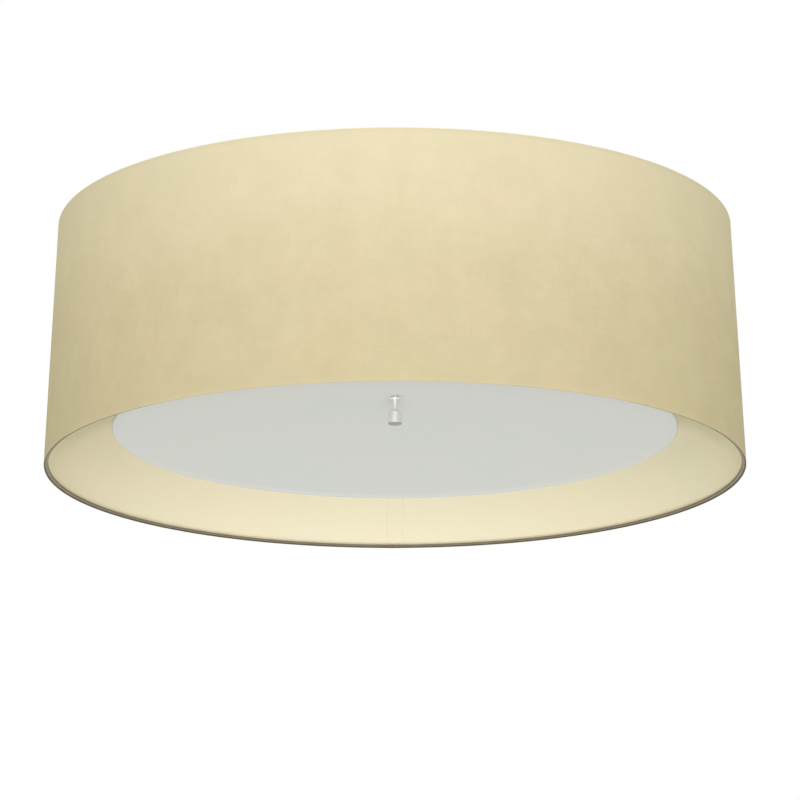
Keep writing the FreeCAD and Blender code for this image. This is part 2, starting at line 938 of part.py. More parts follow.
def make_centre_contact(index):
    """Brass tongue on the lampholder's floor that bears on the foot of the lamp."""
    body = new_body(f"centre_contact_{index + 1}")
    sketch = sketch_on(body, "XZ_Plane", (0, lamp_level, 0))
    thick = size("contact_thickness")
    half = size("contact_half_height")
    tip = foot_tip - size("bulb_clearance")
    points = [
        (holder_floor, -half),
        (holder_floor + thick, -half),
        (holder_floor + thick, -half / 2),
        (tip, ZERO),
        (tip, half / 2),
        (tip - thick, half / 2),
        (tip - thick, ZERO),
        (holder_floor, -half / 3),
    ]
    outline(sketch, points)
    pad(body, sketch, size("contact_width"), both_ways=True)
    turned_about_z(body, lamp_angle(index))
    return body


# ---------------------------------------------------------------- lamps


def make_bulb_foot(index):
    """Insulating foot that carries the lamp's centre contact."""
    body = new_body(f"bulb_foot_{index + 1}")
    sketch = sketch_on(body, "XZ_Plane", (0, lamp_level, 0))
    tip = size("foot_tip_diameter") / 2
    points = [
        (foot_tip, ZERO),
        (foot_tip, tip),
        (cap_start, cap_radius - size("foot_length")),
        (cap_start, ZERO),
    ]
    outline(sketch, points)
    revolve(body, sketch, "H_Axis")
    turned_about_z(body, lamp_angle(index))
    return body


def make_bulb_cap(index):
    """Metal screw cap of the lamp, closed behind by a thin end."""
    body = new_body(f"bulb_cap_{index + 1}")
    sketch = sketch_on(body, "XZ_Plane", (0, lamp_level, 0))
    wall = size("cap_wall")
    points = [
        (cap_start, ZERO),
        (cap_start, cap_radius - wall),
        (cap_start + wall, cap_radius),
        (cap_end, cap_radius),
        (cap_end, cap_radius - wall),
        (cap_start + wall, cap_radius - wall),
        (cap_start + wall, ZERO),
    ]
    outline(sketch, points)
    revolve(body, sketch, "H_Axis")
    turned_about_z(body, lamp_angle(index))
    return body


def make_bulb_housing(index):
    """Lamp body: a neck in the cap and a flared part that ends under the dome."""
    body = new_body(f"bulb_housing_{index + 1}")
    sketch = sketch_on(body, "XZ_Plane", (0, lamp_level, 0))
    neck = cap_radius - size("cap_wall") - size("weld_gap")
    neck_start = cap_start + size("cap_wall") + size("weld_gap")
    collar = cap_radius + size("cap_wall")
    points = [
        (neck_start, ZERO),
        (neck_start, neck),
        (cap_end, neck),
        (cap_end, collar),
        (cap_end + size("foot_length"), collar),
        (housing_end, size("housing_top_diameter") / 2),
        (housing_end, ZERO),
    ]
    outline(sketch, points)
    revolve(body, sketch, "H_Axis")
    turned_about_z(body, lamp_angle(index))
    return body


def make_bulb_dome(index):
    """Thin opal dome of the lamp."""
    body = new_body(f"bulb_dome_{index + 1}")
    sketch = sketch_on(body, "XZ_Plane", (0, lamp_level, 0))
    wall = size("dome_wall")
    radius = size("bulb_diameter") / 2
    edge = size("housing_top_diameter") / 2
    centre = bulb_tip - radius
    points = [
        (housing_end, edge - wall),
        (housing_end, edge),
        (centre, radius),
        (bulb_tip, ZERO),
        (bulb_tip - wall, ZERO),
        (centre, radius - wall),
    ]
    outline(sketch, points, {2: ((centre, ZERO), True), 4: ((centre, ZERO), False)})
    revolve(body, sketch, "H_Axis")
    turned_about_z(body, lamp_angle(index))
    return body


# ---------------------------------------------------------------- diffuser and finial


def make_diffuser():
    """Shallow frosted dish, hollow side down, with a rolled bead round its rim."""
    body = new_body("diffuser")
    sketch = sketch_on(body, "XZ_Plane")
    bead = size("diffuser_bead_diameter") / 2
    reach = size("diffuser_diameter") / 2 - bead
    thick = size("diffuser_thickness")
    hole = size("diffuser_hole") / 2
    rise = size("diffuser_rise")
    sphere = (reach * reach + rise * rise) / (2 * rise)
    centre = (ZERO, dish_under - sphere)
    top_sphere = sphere + thick
    hole_drop = sphere - root(sphere * sphere - hole * hole)
    top_hole_drop = top_sphere - root(top_sphere * top_sphere - hole * hole)
    top_reach_drop = top_sphere - root(top_sphere * top_sphere - reach * reach)
    points = [
        (hole, dish_under - hole_drop),
        (reach, rim_level),
        (reach, dish_top - top_reach_drop),
        (hole, dish_top - top_hole_drop),
    ]
    outline(sketch, points, {0: (centre, True), 2: (centre, False)})
    revolve(body, sketch)
    rim = sketch_on(body, "XZ_Plane")
    circle(rim, reach, rim_level + thick / 2, bead)
    revolve(body, rim)
    return body


def make_clear_washer():
    """Clear washer between the diffuser and the finial's collar."""
    body = new_body("clear_washer")
    hole = size("finial_thread_diameter") / 2 + size("hole_clearance")
    thick = size("clear_washer_thickness")
    ring_pad(body, clear_washer_under, thick, size("clear_washer_diameter") / 2, hole)
    return body


def make_finial():
    """Turned finial: thread, thin collar, slim neck and a barrel with a sloped shoulder."""
    body = new_body("finial")
    sketch = sketch_on(body, "XZ_Plane")
    thread = size("finial_thread_diameter") / 2
    collar = size("finial_collar_diameter") / 2
    neck = size("finial_neck_diameter") / 2
    barrel = size("finial_barrel_diameter") / 2
    edge = size("finial_edge")
    thread_top = seat_under + size("seat_thread_depth") - size("finial_thread_end_gap")
    collar_top = clear_washer_under - size("contact_gap")
    collar_under = collar_top - size("finial_collar_thickness")
    neck_end = collar_under - size("finial_neck_length")
    shoulder = neck_end - size("finial_shoulder")
    low = neck_end - size("finial_barrel_length")
    points = [
        (ZERO, thread_top),
        (thread, thread_top),
        (thread, collar_top),
        (collar, collar_top),
        (collar, collar_under),
        (neck, collar_under),
        (neck, neck_end),
        (barrel, shoulder),
        (barrel, low + edge),
        (barrel - edge, low),
        (ZERO, low),
    ]
    outline(sketch, points)
    revolve(body, sketch)
    return body


# ---------------------------------------------------------------- build, check and write


def make_parts():
    parts = [
        make_crossbar(),
        make_ground_screw(),
        make_pan_studs(),
        make_pan_cap_nuts(),
        make_ceiling_pan(),
        make_lead_bushings(),
        make_insulation_pad(),
        make_centre_rod(),
        make_rod_washers(),
        make_rod_nuts(),
        make_diffuser_seat(),
        make_cushion_washer(),
        make_spider_hub(),
        make_top_ring(),
        make_bottom_ring(),
        make_shade_liner(),
        make_shade_fabric(),
        make_shade_seam(),
        make_top_edging(),
        make_bottom_edging(),
        make_bracket_rivets(),
        make_holder_screws(),
        make_diffuser(),
        make_clear_washer(),
        make_finial(),
    ]
    for index in range(LAMP_COUNT):
        parts += [
            make_spider_arm(index),
            make_bracket(index),
            make_lampholder(index),
            make_screw_shell(index),
            make_centre_contact(index),
            make_bulb_foot(index),
            make_bulb_cap(index),
            make_bulb_housing(index),
            make_bulb_dome(index),
        ]
    return parts


parts = make_parts()
doc.recompute()
faults = [
    f"{thing.Name}: {thing.State}"
    for thing in doc.Objects
    if "Invalid" in thing.State or "Error" in thing.State
]
for body in parts:
    if body.Shape.isNull() or not body.Shape.isValid():
        faults.append(f"{body.Label}: no valid shape")
if faults:
    raise RuntimeError("; ".join(faults))
os.makedirs("parts", exist_ok=True)
for body in parts:
    body.Shape.exportStep(f"parts/{body.Label}.step")
    print(body.Label, len(body.Shape.Solids), round(body.Shape.Volume, 1))
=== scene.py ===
import json
import math

import bmesh
import bpy
import numpy as np
from mathutils import Matrix, Vector

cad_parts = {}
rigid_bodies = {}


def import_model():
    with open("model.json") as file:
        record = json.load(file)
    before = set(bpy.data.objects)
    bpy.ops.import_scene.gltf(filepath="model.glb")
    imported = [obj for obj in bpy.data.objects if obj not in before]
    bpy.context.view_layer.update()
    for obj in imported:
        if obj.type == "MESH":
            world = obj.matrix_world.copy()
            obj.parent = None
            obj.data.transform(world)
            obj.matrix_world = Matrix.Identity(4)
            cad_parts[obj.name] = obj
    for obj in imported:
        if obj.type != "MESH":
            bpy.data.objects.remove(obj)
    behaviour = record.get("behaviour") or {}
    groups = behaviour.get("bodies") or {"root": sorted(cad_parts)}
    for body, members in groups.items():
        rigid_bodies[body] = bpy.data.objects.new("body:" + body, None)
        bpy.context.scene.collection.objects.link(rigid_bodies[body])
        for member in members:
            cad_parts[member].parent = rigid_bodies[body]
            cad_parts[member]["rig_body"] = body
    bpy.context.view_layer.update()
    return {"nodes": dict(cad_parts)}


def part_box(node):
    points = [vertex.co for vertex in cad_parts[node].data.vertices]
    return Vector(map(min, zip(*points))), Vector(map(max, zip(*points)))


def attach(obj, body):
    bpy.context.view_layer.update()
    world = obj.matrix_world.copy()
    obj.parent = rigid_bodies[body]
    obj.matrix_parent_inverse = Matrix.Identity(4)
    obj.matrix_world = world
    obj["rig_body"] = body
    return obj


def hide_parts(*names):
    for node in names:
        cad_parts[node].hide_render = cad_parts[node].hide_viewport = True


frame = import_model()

# Flush mount ceiling light: a linen drum shade, a frosted dish and a slim finial.
# Metres, in the frame of the solids: the ceiling is z = 0 and the light hangs along -Z.

MM = 0.001
TAU = 2 * math.pi
LAMPS = (1, 2, 3)

# ---------------------------------------------------------------- places read from the solids

edging_low, edging_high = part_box("bottom_edging")
top_low, top_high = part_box("top_edging")
SHADE_BOTTOM = edging_low[2]
SHADE_TOP = top_high[2]
COVER_BOTTOM = edging_high[2]
COVER_TOP = top_low[2]
FABRIC = 0.8 * MM
LINER_INSET = 0.85 * MM
LINER = 0.5 * MM
WALL = 1.45 * MM
BOTTOM_RADIUS = edging_high[0]
TOP_RADIUS = top_high[0]

PAN_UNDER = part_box("ceiling_pan")[0][2]
DISH_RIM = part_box("diffuser")[0][2]
DISH_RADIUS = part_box("diffuser")[1][0]
SEAT_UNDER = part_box("diffuser_seat")[0][2]
SEAT_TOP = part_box("diffuser_seat")[1][2]
ROD_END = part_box("centre_rod")[0][2]
ROD_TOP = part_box("centre_rod")[1][2]
HUB_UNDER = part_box("spider_hub")[0][2]
HOLDER_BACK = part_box("lampholder_1")[0][0]
HOLDER_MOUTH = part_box("lampholder_1")[1][0]
LAMP_LEVEL = (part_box("lampholder_1")[0][2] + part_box("lampholder_1")[1][2]) / 2


def shade_radius(level):
    """The outer radius of the tapered drum at a level."""
    share = (level - SHADE_BOTTOM) / (SHADE_TOP - SHADE_BOTTOM)
    return BOTTOM_RADIUS + (TOP_RADIUS - BOTTOM_RADIUS) * share


# ---------------------------------------------------------------- camera

PHOTO_SIDE_PX = 800
FOCAL_PX = 4262.6
CAMERA_REACH = 12.17          # distance to the shade's bottom rim, in bottom radii
CAMERA_RISE = math.radians(13.73)
CAMERA_ROLL = math.radians(-0.118)
RIM_CENTRE_PX = (394.9, 470.4)
SENSOR_MM = 36.0


def make_camera():
    """A camera in front of the light and below it, with the drum's rim where the photo has it."""
    data = bpy.data.cameras.new("photo_camera")
    data.sensor_width = SENSOR_MM
    data.lens = FOCAL_PX / PHOTO_SIDE_PX * SENSOR_MM
    data.clip_end = 60
    camera = bpy.data.objects.new("photo_camera", data)
    bpy.context.scene.collection.objects.link(camera)
    away = Vector((0, -math.cos(CAMERA_RISE), -math.sin(CAMERA_RISE)))
    right = Vector((1, 0, 0))
    forward = -away
    up = right.cross(forward)
    middle = PHOTO_SIDE_PX / 2
    off_x = RIM_CENTRE_PX[0] - middle
    off_y = RIM_CENTRE_PX[1] - middle
    aside = math.atan2(off_x, FOCAL_PX)
    above = math.atan2(-off_y, math.hypot(FOCAL_PX, off_x))
    tilted = math.cos(above) * forward - math.sin(above) * up
    tilted_up = math.sin(above) * forward + math.cos(above) * up
    looking = math.cos(aside) * tilted - math.sin(aside) * right
    sideways = math.sin(aside) * tilted + math.cos(aside) * right
    rolled = math.cos(CAMERA_ROLL) * sideways + math.sin(CAMERA_ROLL) * tilted_up
    rolled_up = -math.sin(CAMERA_ROLL) * sideways + math.cos(CAMERA_ROLL) * tilted_up
    turn = Matrix((rolled, rolled_up, -looking)).transposed().to_4x4()
    place = Vector((0, 0, SHADE_BOTTOM)) + away * (CAMERA_REACH * BOTTOM_RADIUS)
    camera.matrix_world = Matrix.Translation(place) @ turn
    bpy.context.scene.camera = camera


make_camera()

# ---------------------------------------------------------------- material helpers


def start_material(name, **sockets):
    """A material with one main shader, whose constant sockets are set by name."""
    material = bpy.data.materials.new(name)
    material.use_nodes = True
    tree = material.node_tree
    shader = tree.nodes["Principled BSDF"]
    for socket, value in sockets.items():
        shader.inputs[socket.replace("_", " ")].default_value = value
    return material, tree, shader


def add_node(tree, kind, values=None, links=None, **settings):
    made = tree.nodes.new(kind)
    for name, value in settings.items():
        setattr(made, name, value)
    for socket, value in (values or {}).items():
        made.inputs[socket].default_value = value
    for socket, source in (links or {}).items():
        tree.links.new(source, made.inputs[socket])
    return made


def maths(tree, operation, first, second=None, third=None):
    """One arithmetic step on outputs or plain numbers."""
    made = tree.nodes.new("ShaderNodeMath")
    made.operation = operation
    for index, value in enumerate((first, second, third)):
        if value is None:
            continue
        if isinstance(value, (int, float)):
            made.inputs[index].default_value = value
        else:
            tree.links.new(value, made.inputs[index])
    return made.outputs[0]


def object_coords(tree, stretch=(1, 1, 1)):
    """Positions on the object in metres, stretched by the given factors."""
    coords = add_node(tree, "ShaderNodeTexCoord")
    scaled = add_node(
        tree,
        "ShaderNodeVectorMath",
        {1: stretch},
        {0: coords.outputs["Object"]},
        operation="MULTIPLY",
    )
    return scaled.outputs[0]


def cloth_coords(tree, stretch=(1, 1, 1)):
    """Positions on a drum's wall in metres, round it and up it."""
    coords = add_node(tree, "ShaderNodeUVMap", uv_map="weave")
    scaled = add_node(
        tree,
        "ShaderNodeVectorMath",
        {1: stretch},
        {0: coords.outputs[0]},
        operation="MULTIPLY",
    )
    return scaled.outputs[0]


def noise(tree, coords, scale=1.0, detail=3.0, rough=0.5):
    made = add_node(
        tree,
        "ShaderNodeTexNoise",
        {"Scale": scale, "Detail": detail, "Roughness": rough},
        {"Vector": coords},
    )
    return made.outputs["Fac"]


def between(tree, value, low, high, out_low=0.0, out_high=1.0):
    """Maps a value from one range to another, and holds it at the ends."""
    made = add_node(
        tree,
        "ShaderNodeMapRange",
        {1: low, 2: high, 3: out_low, 4: out_high},
        {0: value},
    )
    return made.outputs[0]


def blended(tree, share, first, second):
    """A colour between two colours, each a tuple or an output."""
    made = add_node(tree, "ShaderNodeMix", links={"Factor": share}, data_type="RGBA")
    for index, value in ((6, first), (7, second)):
        if isinstance(value, tuple):
            made.inputs[index].default_value = (*value, 1)
        else:
            tree.links.new(value, made.inputs[index])
    return made.outputs[2]


def bumped(tree, shader, height, distance, strength=1.0):
    made = add_node(
        tree,
        "ShaderNodeBump",
        {"Strength": strength, "Distance": distance},
        {"Height": height},
    )
    tree.links.new(made.outputs[0], shader.inputs["Normal"])


def colour_of(tree, shader, output):
    tree.links.new(output, shader.inputs["Base Color"])


def roughness_of(tree, shader, output):
    tree.links.new(output, shader.inputs["Roughness"])


# ---------------------------------------------------------------- materials


def make_linen():
    """Cream linen-look cloth: a plain weave with slubs both ways, a faint mottle, and painted light: paler
    toward the top and darker toward the bottom.
    """
    material, tree, shader = start_material(
        "linen_weave", Sheen_Weight=0.04, Sheen_Roughness=0.6, Specular_IOR_Level=0.08
    )
    wander = noise(tree, cloth_coords(tree, (60, 60, 1)), 1.0, 2.0)
    place = add_node(tree, "ShaderNodeSeparateXYZ", links={0: cloth_coords(tree)})
    turns = []
    for axis, pitch in ((0, 0.95 * MM), (1, 0.85 * MM)):
        phase = maths(tree, "MULTIPLY", place.outputs[axis], TAU / pitch)
        bent = maths(tree, "ADD", phase, maths(tree, "MULTIPLY", wander, 9.0))
        turns.append(maths(tree, "SINE", bent))
    crossing = maths(tree, "MULTIPLY", turns[0], turns[1])
    thread = maths(tree, "MULTIPLY_ADD", crossing, 0.5, 0.5)
    around = noise(tree, cloth_coords(tree, (48, 800, 1)), 1.0, 2.0, 0.6)
    upward = noise(tree, cloth_coords(tree, (860, 55, 1)), 1.0, 2.0, 0.6)
    long_around = noise(tree, cloth_coords(tree, (34, 380, 1)), 1.0, 3.0, 0.55)
    long_upward = noise(tree, cloth_coords(tree, (400, 42, 1)), 1.0, 3.0, 0.55)
    slub_around = between(tree, long_around, 0.58, 0.78)
    slub_upward = between(tree, long_upward, 0.58, 0.78)
    slubs = maths(tree, "MAXIMUM", slub_around, slub_upward)
    streaks = maths(tree, "ADD", around, upward)
    streaks = between(tree, streaks, 0.65, 1.35)
    mottle = noise(tree, object_coords(tree, (13, 13, 17)), 1.0, 5.0, 0.72)
    warm = between(tree, mottle, 0.36, 0.64)
    patches = noise(tree, object_coords(tree, (36, 36, 36)), 1.0, 3.0, 0.8)
    base = blended(tree, warm, LINEN_GREEN, LINEN_WARM)
    base = blended(tree, maths(tree, "MULTIPLY", streaks, 0.26), base, LINEN_PALE)
    base = blended(tree, maths(tree, "MULTIPLY", slubs, 0.24), base, LINEN_DARK)
    base = blended(tree, between(tree, patches, 0.30, 0.70, 0.0, 0.38), base, LINEN_DARK)
    # Painted light: the cloth is painted paler toward the top and darker toward the bottom, in place of light
    # falling from above.
    up = add_node(tree, "ShaderNodeSeparateXYZ", links={0: object_coords(tree)}).outputs[2]
    base = blended(tree, between(tree, up, -0.110, -0.010, 0.0, 0.60), base, LINEN_PALE)
    base = blended(tree, between(tree, up, -0.050, -0.180, 0.0, 0.45), base, LINEN_DARK)
    colour_of(tree, shader, base)
    roughness_of(tree, shader, between(tree, streaks, 0.0, 1.0, 0.86, 0.96))
    height = maths(tree, "ADD", maths(tree, "MULTIPLY", thread, 0.30), slubs)
    height = maths(tree, "ADD", height, maths(tree, "MULTIPLY", streaks, 0.7))
    bumped(tree, shader, height, 0.11 * MM, 0.38)
    return material


def make_lining():
    """Cream styrene lining, with a trace of the cloth's threads showing through."""
    material, tree, shader = start_material(
        "styrene_lining", Specular_IOR_Level=0.22
    )
    around = noise(tree, cloth_coords(tree, (9, 420, 1)), 1.0, 3.0, 0.55)
    upward = noise(tree, cloth_coords(tree, (460, 12, 1)), 1.0, 3.0, 0.55)
    threads = between(tree, maths(tree, "ADD", around, upward), 0.70, 1.30)
    mottle = noise(tree, object_coords(tree, (7, 7, 9)), 1.0, 3.0, 0.6)
    base = blended(tree, between(tree, mottle, 0.35, 0.65), LINING_COOL, LINING_WARM)
    base = blended(tree, maths(tree, "MULTIPLY", threads, 0.22), base, LINING_PALE)
    colour_of(tree, shader, base)
    roughness_of(tree, shader, between(tree, threads, 0.0, 1.0, 0.62, 0.74))
    bumped(tree, shader, threads, 0.05 * MM, 0.5)
    return material


def make_tape(name, dark, pale):
    """Narrow tape, woven on the slant, a little worn on its crown."""
    material, tree, shader = start_material(name, Sheen_Weight=0.1, Specular_IOR_Level=0.2)
    place = add_node(tree, "ShaderNodeSeparateXYZ", links={0: cloth_coords(tree)})
    slant = maths(tree, "ADD", place.outputs[0], place.outputs[1])
    ribs = maths(tree, "SINE", maths(tree, "MULTIPLY", slant, TAU / (0.9 * MM)))
    ribs = maths(tree, "MULTIPLY_ADD", ribs, 0.5, 0.5)
    patches = noise(tree, object_coords(tree, (60, 60, 60)), 1.0, 4.0, 0.6)
    fade = between(tree, patches, 0.35, 0.7)
    base = blended(tree, fade, dark, pale)
    base = blended(tree, maths(tree, "MULTIPLY", ribs, 0.25), base, dark)
    colour_of(tree, shader, base)
    roughness_of(tree, shader, between(tree, patches, 0.3, 0.7, 0.72, 0.9))
    bumped(tree, shader, ribs, 0.08 * MM, 0.6)
    return material


def make_ring_wrap():
    """The bottom ring's wrapping: dark tape round its lower side, its darkness also painted shade under the
    ring, and lining over the rest.
    """
    material, tree, shader = start_material("ring_wrap", Specular_IOR_Level=0.15)
    cloud = noise(tree, object_coords(tree, (90, 90, 90)), 1.0, 4.0, 0.6)
    # Painted shade: the ring's lower side is dark and its upper side pale, standing in for the shade under
    # the ring as well as dark tape.
    dark = blended(tree, cloud, (0.19, 0.157, 0.105), (0.27, 0.225, 0.155))
    pale = blended(tree, cloud, (0.80, 0.71, 0.52), (0.88, 0.79, 0.59))
    whole = add_node(tree, "ShaderNodeTexCoord").outputs["Generated"]
    height = add_node(tree, "ShaderNodeSeparateXYZ", links={0: whole}).outputs[2]
    edge = maths(tree, "MULTIPLY_ADD", cloud, 0.20, height)
    colour_of(tree, shader, blended(tree, between(tree, edge, 0.62, 0.80), dark, pale))
    roughness_of(tree, shader, between(tree, cloud, 0.3, 0.7, 0.66, 0.82))
    grain = noise(tree, object_coords(tree, (1100, 1100, 1100)), 1.0, 2.0)
    bumped(tree, shader, grain, 0.04 * MM, 0.5)
    return material


def make_frosted():
    """Frosted acrylic: an even satin face with a very fine grain and a faint cool cast."""
    material, tree, shader = start_material(
        "frosted_acrylic", Specular_IOR_Level=0.35, Coat_Roughness=0.5, IOR=1.49
    )
    grain = noise(tree, object_coords(tree, (1900, 1900, 1900)), 1.0, 2.0)
    cloud = noise(tree, object_coords(tree, (16, 16, 16)), 1.0, 4.0, 0.7)
    base = blended(tree, between(tree, cloud, 0.34, 0.66), FROST_WARM, FROST_COOL)
    base = blended(tree, between(tree, grain, 0.35, 0.65, 0.0, 0.10), base, FROST_PALE)
    colour_of(tree, shader, base)
    roughness_of(tree, shader, between(tree, cloud, 0.3, 0.7, 0.50, 0.60))
    bumped(tree, shader, grain, 0.02 * MM, 0.35)
    return material


def make_metal(name, colour, pale, roughness, stretch, metallic=1.0, bump=0.01):
    """Plated or rolled metal whose grain runs along the axis with the low stretch."""
    material, tree, shader = start_material(name, Metallic=metallic)
    grain = noise(tree, object_coords(tree, stretch), 1.0, 3.0, 0.6)
    cloud = noise(tree, object_coords(tree, (35, 35, 35)), 1.0, 4.0, 0.6)
    share = between(tree, grain, 0.3, 0.7)
    base = blended(tree, share, colour, pale)
    dulled = tuple(value * 0.86 for value in colour)
    base = blended(tree, between(tree, cloud, 0.45, 0.75, 0.0, 0.45), base, dulled)
    colour_of(tree, shader, base)
    low, high = roughness
    roughness_of(tree, shader, between(tree, cloud, 0.3, 0.7, low, high))
    bumped(tree, shader, grain, bump * MM, 0.6)
    return material


def make_smooth(name, colour, pale, roughness, scale=30.0, bump=0.02, fine=900.0, **sockets):
    """Paint, plastic, glaze or rubber: a faint mottle over a fine surface grain."""
    material, tree, shader = start_material(name, **sockets)
    cloud = noise(tree, object_coords(tree, (scale, scale, scale)), 1.0, 4.0, 0.55)
    grain = noise(tree, object_coords(tree, (fine, fine, fine)), 1.0, 2.0)
    base = blended(tree, between(tree, cloud, 0.3, 0.7), colour, pale)
    colour_of(tree, shader, base)
    low, high = roughness
    roughness_of(tree, shader, between(tree, cloud, 0.3, 0.7, low, high))
    bumped(tree, shader, grain, bump * MM, 0.5)
    return material


def make_felt():
    """Needled glass fibre: matted strands with a few darker ones."""
    material, tree, shader = start_material(
        "glass_felt", Sheen_Weight=0.2, Specular_IOR_Level=0.2
    )
    strands = noise(tree, object_coords(tree, (260, 1500, 900)), 1.0, 4.0, 0.7)
    across = noise(tree, object_coords(tree, (1500, 240, 900)), 1.0, 4.0, 0.7)
    mat = maths(tree, "MAXIMUM", strands, across)
    cloud = noise(tree, object_coords(tree, (40, 40, 40)), 1.0, 3.0)
    base = blended(tree, between(tree, mat, 0.45, 0.75), (0.60, 0.55, 0.38), (0.86, 0.83, 0.68))
    base = blended(tree, between(tree, cloud, 0.4, 0.7, 0.0, 0.3), base, (0.74, 0.66, 0.42))
    colour_of(tree, shader, base)
    roughness_of(tree, shader, between(tree, mat, 0.4, 0.8, 0.85, 0.98))
    bumped(tree, shader, mat, 0.6 * MM, 0.8)
    return material


LINEN_WARM = (0.722, 0.600, 0.388)
LINEN_GREEN = (0.676, 0.605, 0.377)
LINEN_PALE = (0.760, 0.674, 0.465)
LINEN_DARK = (0.530, 0.449, 0.262)
LINING_WARM = (0.920, 0.818, 0.595)
LINING_COOL = (0.880, 0.828, 0.605)
LINING_PALE = (0.940, 0.885, 0.705)
FROST_WARM = (0.665, 0.665, 0.645)
FROST_COOL = (0.648, 0.672, 0.660)
FROST_PALE = (0.720, 0.730, 0.720)

linen = make_linen()
lining = make_lining()
taupe_tape = make_tape("taupe_tape", (0.085, 0.070, 0.045), (0.160, 0.130, 0.090))
tan_tape = make_tape("tan_tape", (0.250, 0.208, 0.145), (0.320, 0.268, 0.190))
cream_tape = make_tape("cream_tape", (0.780, 0.720, 0.480), (0.860, 0.810, 0.580))
frosted = make_frosted()
felt = make_felt()
satin_nickel = make_metal(
    "satin_nickel", (0.84, 0.84, 0.82), (0.90, 0.90, 0.88), (0.46, 0.54), (1400, 1400, 90)
)
# Painted shade: a darker nickel for the finial's downward end, standing in for the shade under the barrel.
shaded_nickel_end = make_metal(
    "shaded_nickel_end", (0.30, 0.30, 0.29), (0.36, 0.36, 0.35), (0.42, 0.52), (900, 900, 900)
)
zinc = make_metal(
    "zinc_plate", (0.52, 0.53, 0.53), (0.66, 0.66, 0.64), (0.34, 0.52), (90, 700, 700)
)
brass = make_metal(
    "plain_brass", (0.70, 0.52, 0.24), (0.82, 0.66, 0.36), (0.28, 0.42), (500, 500, 120)
)
cap_nickel = make_metal(
    "cap_nickel", (0.66, 0.66, 0.65), (0.78, 0.78, 0.77), (0.24, 0.36), (500, 500, 120)
)
green_zinc = make_metal(
    "green_zinc", (0.05, 0.24, 0.09), (0.09, 0.36, 0.15), (0.35, 0.5), (400, 400, 400), 0.6
)
enamel = make_smooth(
    "white_enamel", (0.78, 0.78, 0.75), (0.84, 0.84, 0.82), (0.30, 0.40), 24.0, 0.05, 420.0
)
coated_wire = make_smooth(
    "coated_wire", (0.72, 0.71, 0.66), (0.80, 0.79, 0.75), (0.34, 0.46), 60.0, 0.04, 600.0
)
nylon = make_smooth(
    "moulded_nylon", (0.74, 0.73, 0.68), (0.82, 0.81, 0.77), (0.42, 0.52), 70.0
)
glaze = make_smooth(
    "white_glaze", (0.80, 0.79, 0.74), (0.86, 0.85, 0.81), (0.10, 0.18), 45.0, 0.02, 260.0,
    Coat_Weight=0.6, Coat_Roughness=0.06
)
housing_white = make_smooth(
    "lamp_housing_white", (0.80, 0.80, 0.78), (0.85, 0.85, 0.84), (0.24, 0.34), 50.0
)
opal = make_smooth(
    "opal_dome", (0.84, 0.83, 0.79), (0.88, 0.87, 0.84), (0.36, 0.46), 40.0, 0.01, 1200.0
)
insulator = make_smooth(
    "black_insulator", (0.015, 0.014, 0.013), (0.03, 0.028, 0.026), (0.16, 0.28), 90.0
)
silicone = make_smooth(
    "grey_silicone", (0.50, 0.49, 0.45), (0.56, 0.55, 0.51), (0.55, 0.68), 80.0
)
ring_wrap = make_ring_wrap()
clear = make_smooth(
    "clear_moulding", (0.74, 0.75, 0.73), (0.80, 0.81, 0.79), (0.30, 0.40), 60.0, 0.005, 400.0,
    Alpha=0.06
)

# ---------------------------------------------------------------- mesh helpers


def new_object(name, mesh, *materials):
    piece = bpy.data.objects.new(name, mesh)
    bpy.context.scene.collection.objects.link(piece)
    for material in materials:
        mesh.materials.append(material)
    return piece


def tidy_mesh(mesh, degrees=35):
    """Joins doubled points, faces all outward, and keeps edges over the angle hard."""
    work = bmesh.new()
    work.from_mesh(mesh)
    bmesh.ops.remove_doubles(work, verts=work.verts, dist=1e-7)
    bmesh.ops.recalc_face_normals(work, faces=work.faces)
    limit = math.radians(degrees)
    for face in work.faces:
        face.smooth = True
    for edge in work.edges:
        edge.smooth = len(edge.link_faces) == 2 and edge.calc_face_angle() < limit
    work.to_mesh(mesh)
    work.free()
    return mesh


def grid_mesh(name, points, round_it=True, closed=False, uv=None):
    """Quads over rows of points, where points[row, column] is (x, y, z)."""
    rows, columns = points.shape[:2]
    first = np.arange(rows if closed else rows - 1)
    second = np.arange(columns if round_it else columns - 1)
    i, j = np.meshgrid(first, second, indexing="ij")
    i2, j2 = (i + 1) % rows, (j + 1) % columns
    faces = np.stack(
        [i * columns + j, i * columns + j2, i2 * columns + j2, i2 * columns + j], -1
    )
    mesh = bpy.data.meshes.new(name)
    mesh.from_pydata(points.reshape(-1, 3).tolist(), [], faces.reshape(-1, 4).tolist())
    if uv is not None:
        across, up = uv
        layer = mesh.uv_layers.new(name="weave")
        corners = np.stack([i, j, i, j + 1, i + 1, j + 1, i + 1, j], -1).reshape(-1, 2)
        values = np.stack([across[corners[:, 1]], up[corners[:, 0]]], -1)
        layer.data.foreach_set("uv", values.astype(np.float32).ravel())
    return mesh


def rounded(corners, closed=False, steps=5):
    """A line through corners (x, y, radius), each rounded by an arc of its radius."""
    line = []
    count = len(corners)
    for index, (x, y, radius) in enumerate(corners):
        inner = closed or 0 < index < count - 1
        if not radius or not inner:
            line.append((x, y))
            continue
        before = Vector(corners[index - 1][:2]) - Vector((x, y))
        after = Vector(corners[(index + 1) % count][:2]) - Vector((x, y))
        half = before.angle(after) / 2
        reach = min(radius / math.tan(half), 0.49 * before.length, 0.49 * after.length)
        radius = reach * math.tan(half)
        middle = (before.normalized() + after.normalized()).normalized()
        centre = Vector((x, y)) + middle * (radius / math.sin(half))
        start = Vector((x, y)) + before.normalized() * reach - centre
        end = Vector((x, y)) + after.normalized() * reach - centre
        sweep = start.angle_signed(end)
        for step in range(steps + 1):
            turned = start.copy()
            turned.rotate(Matrix.Rotation(-sweep * step / steps, 2))
            line.append(tuple(centre + turned))
    return line


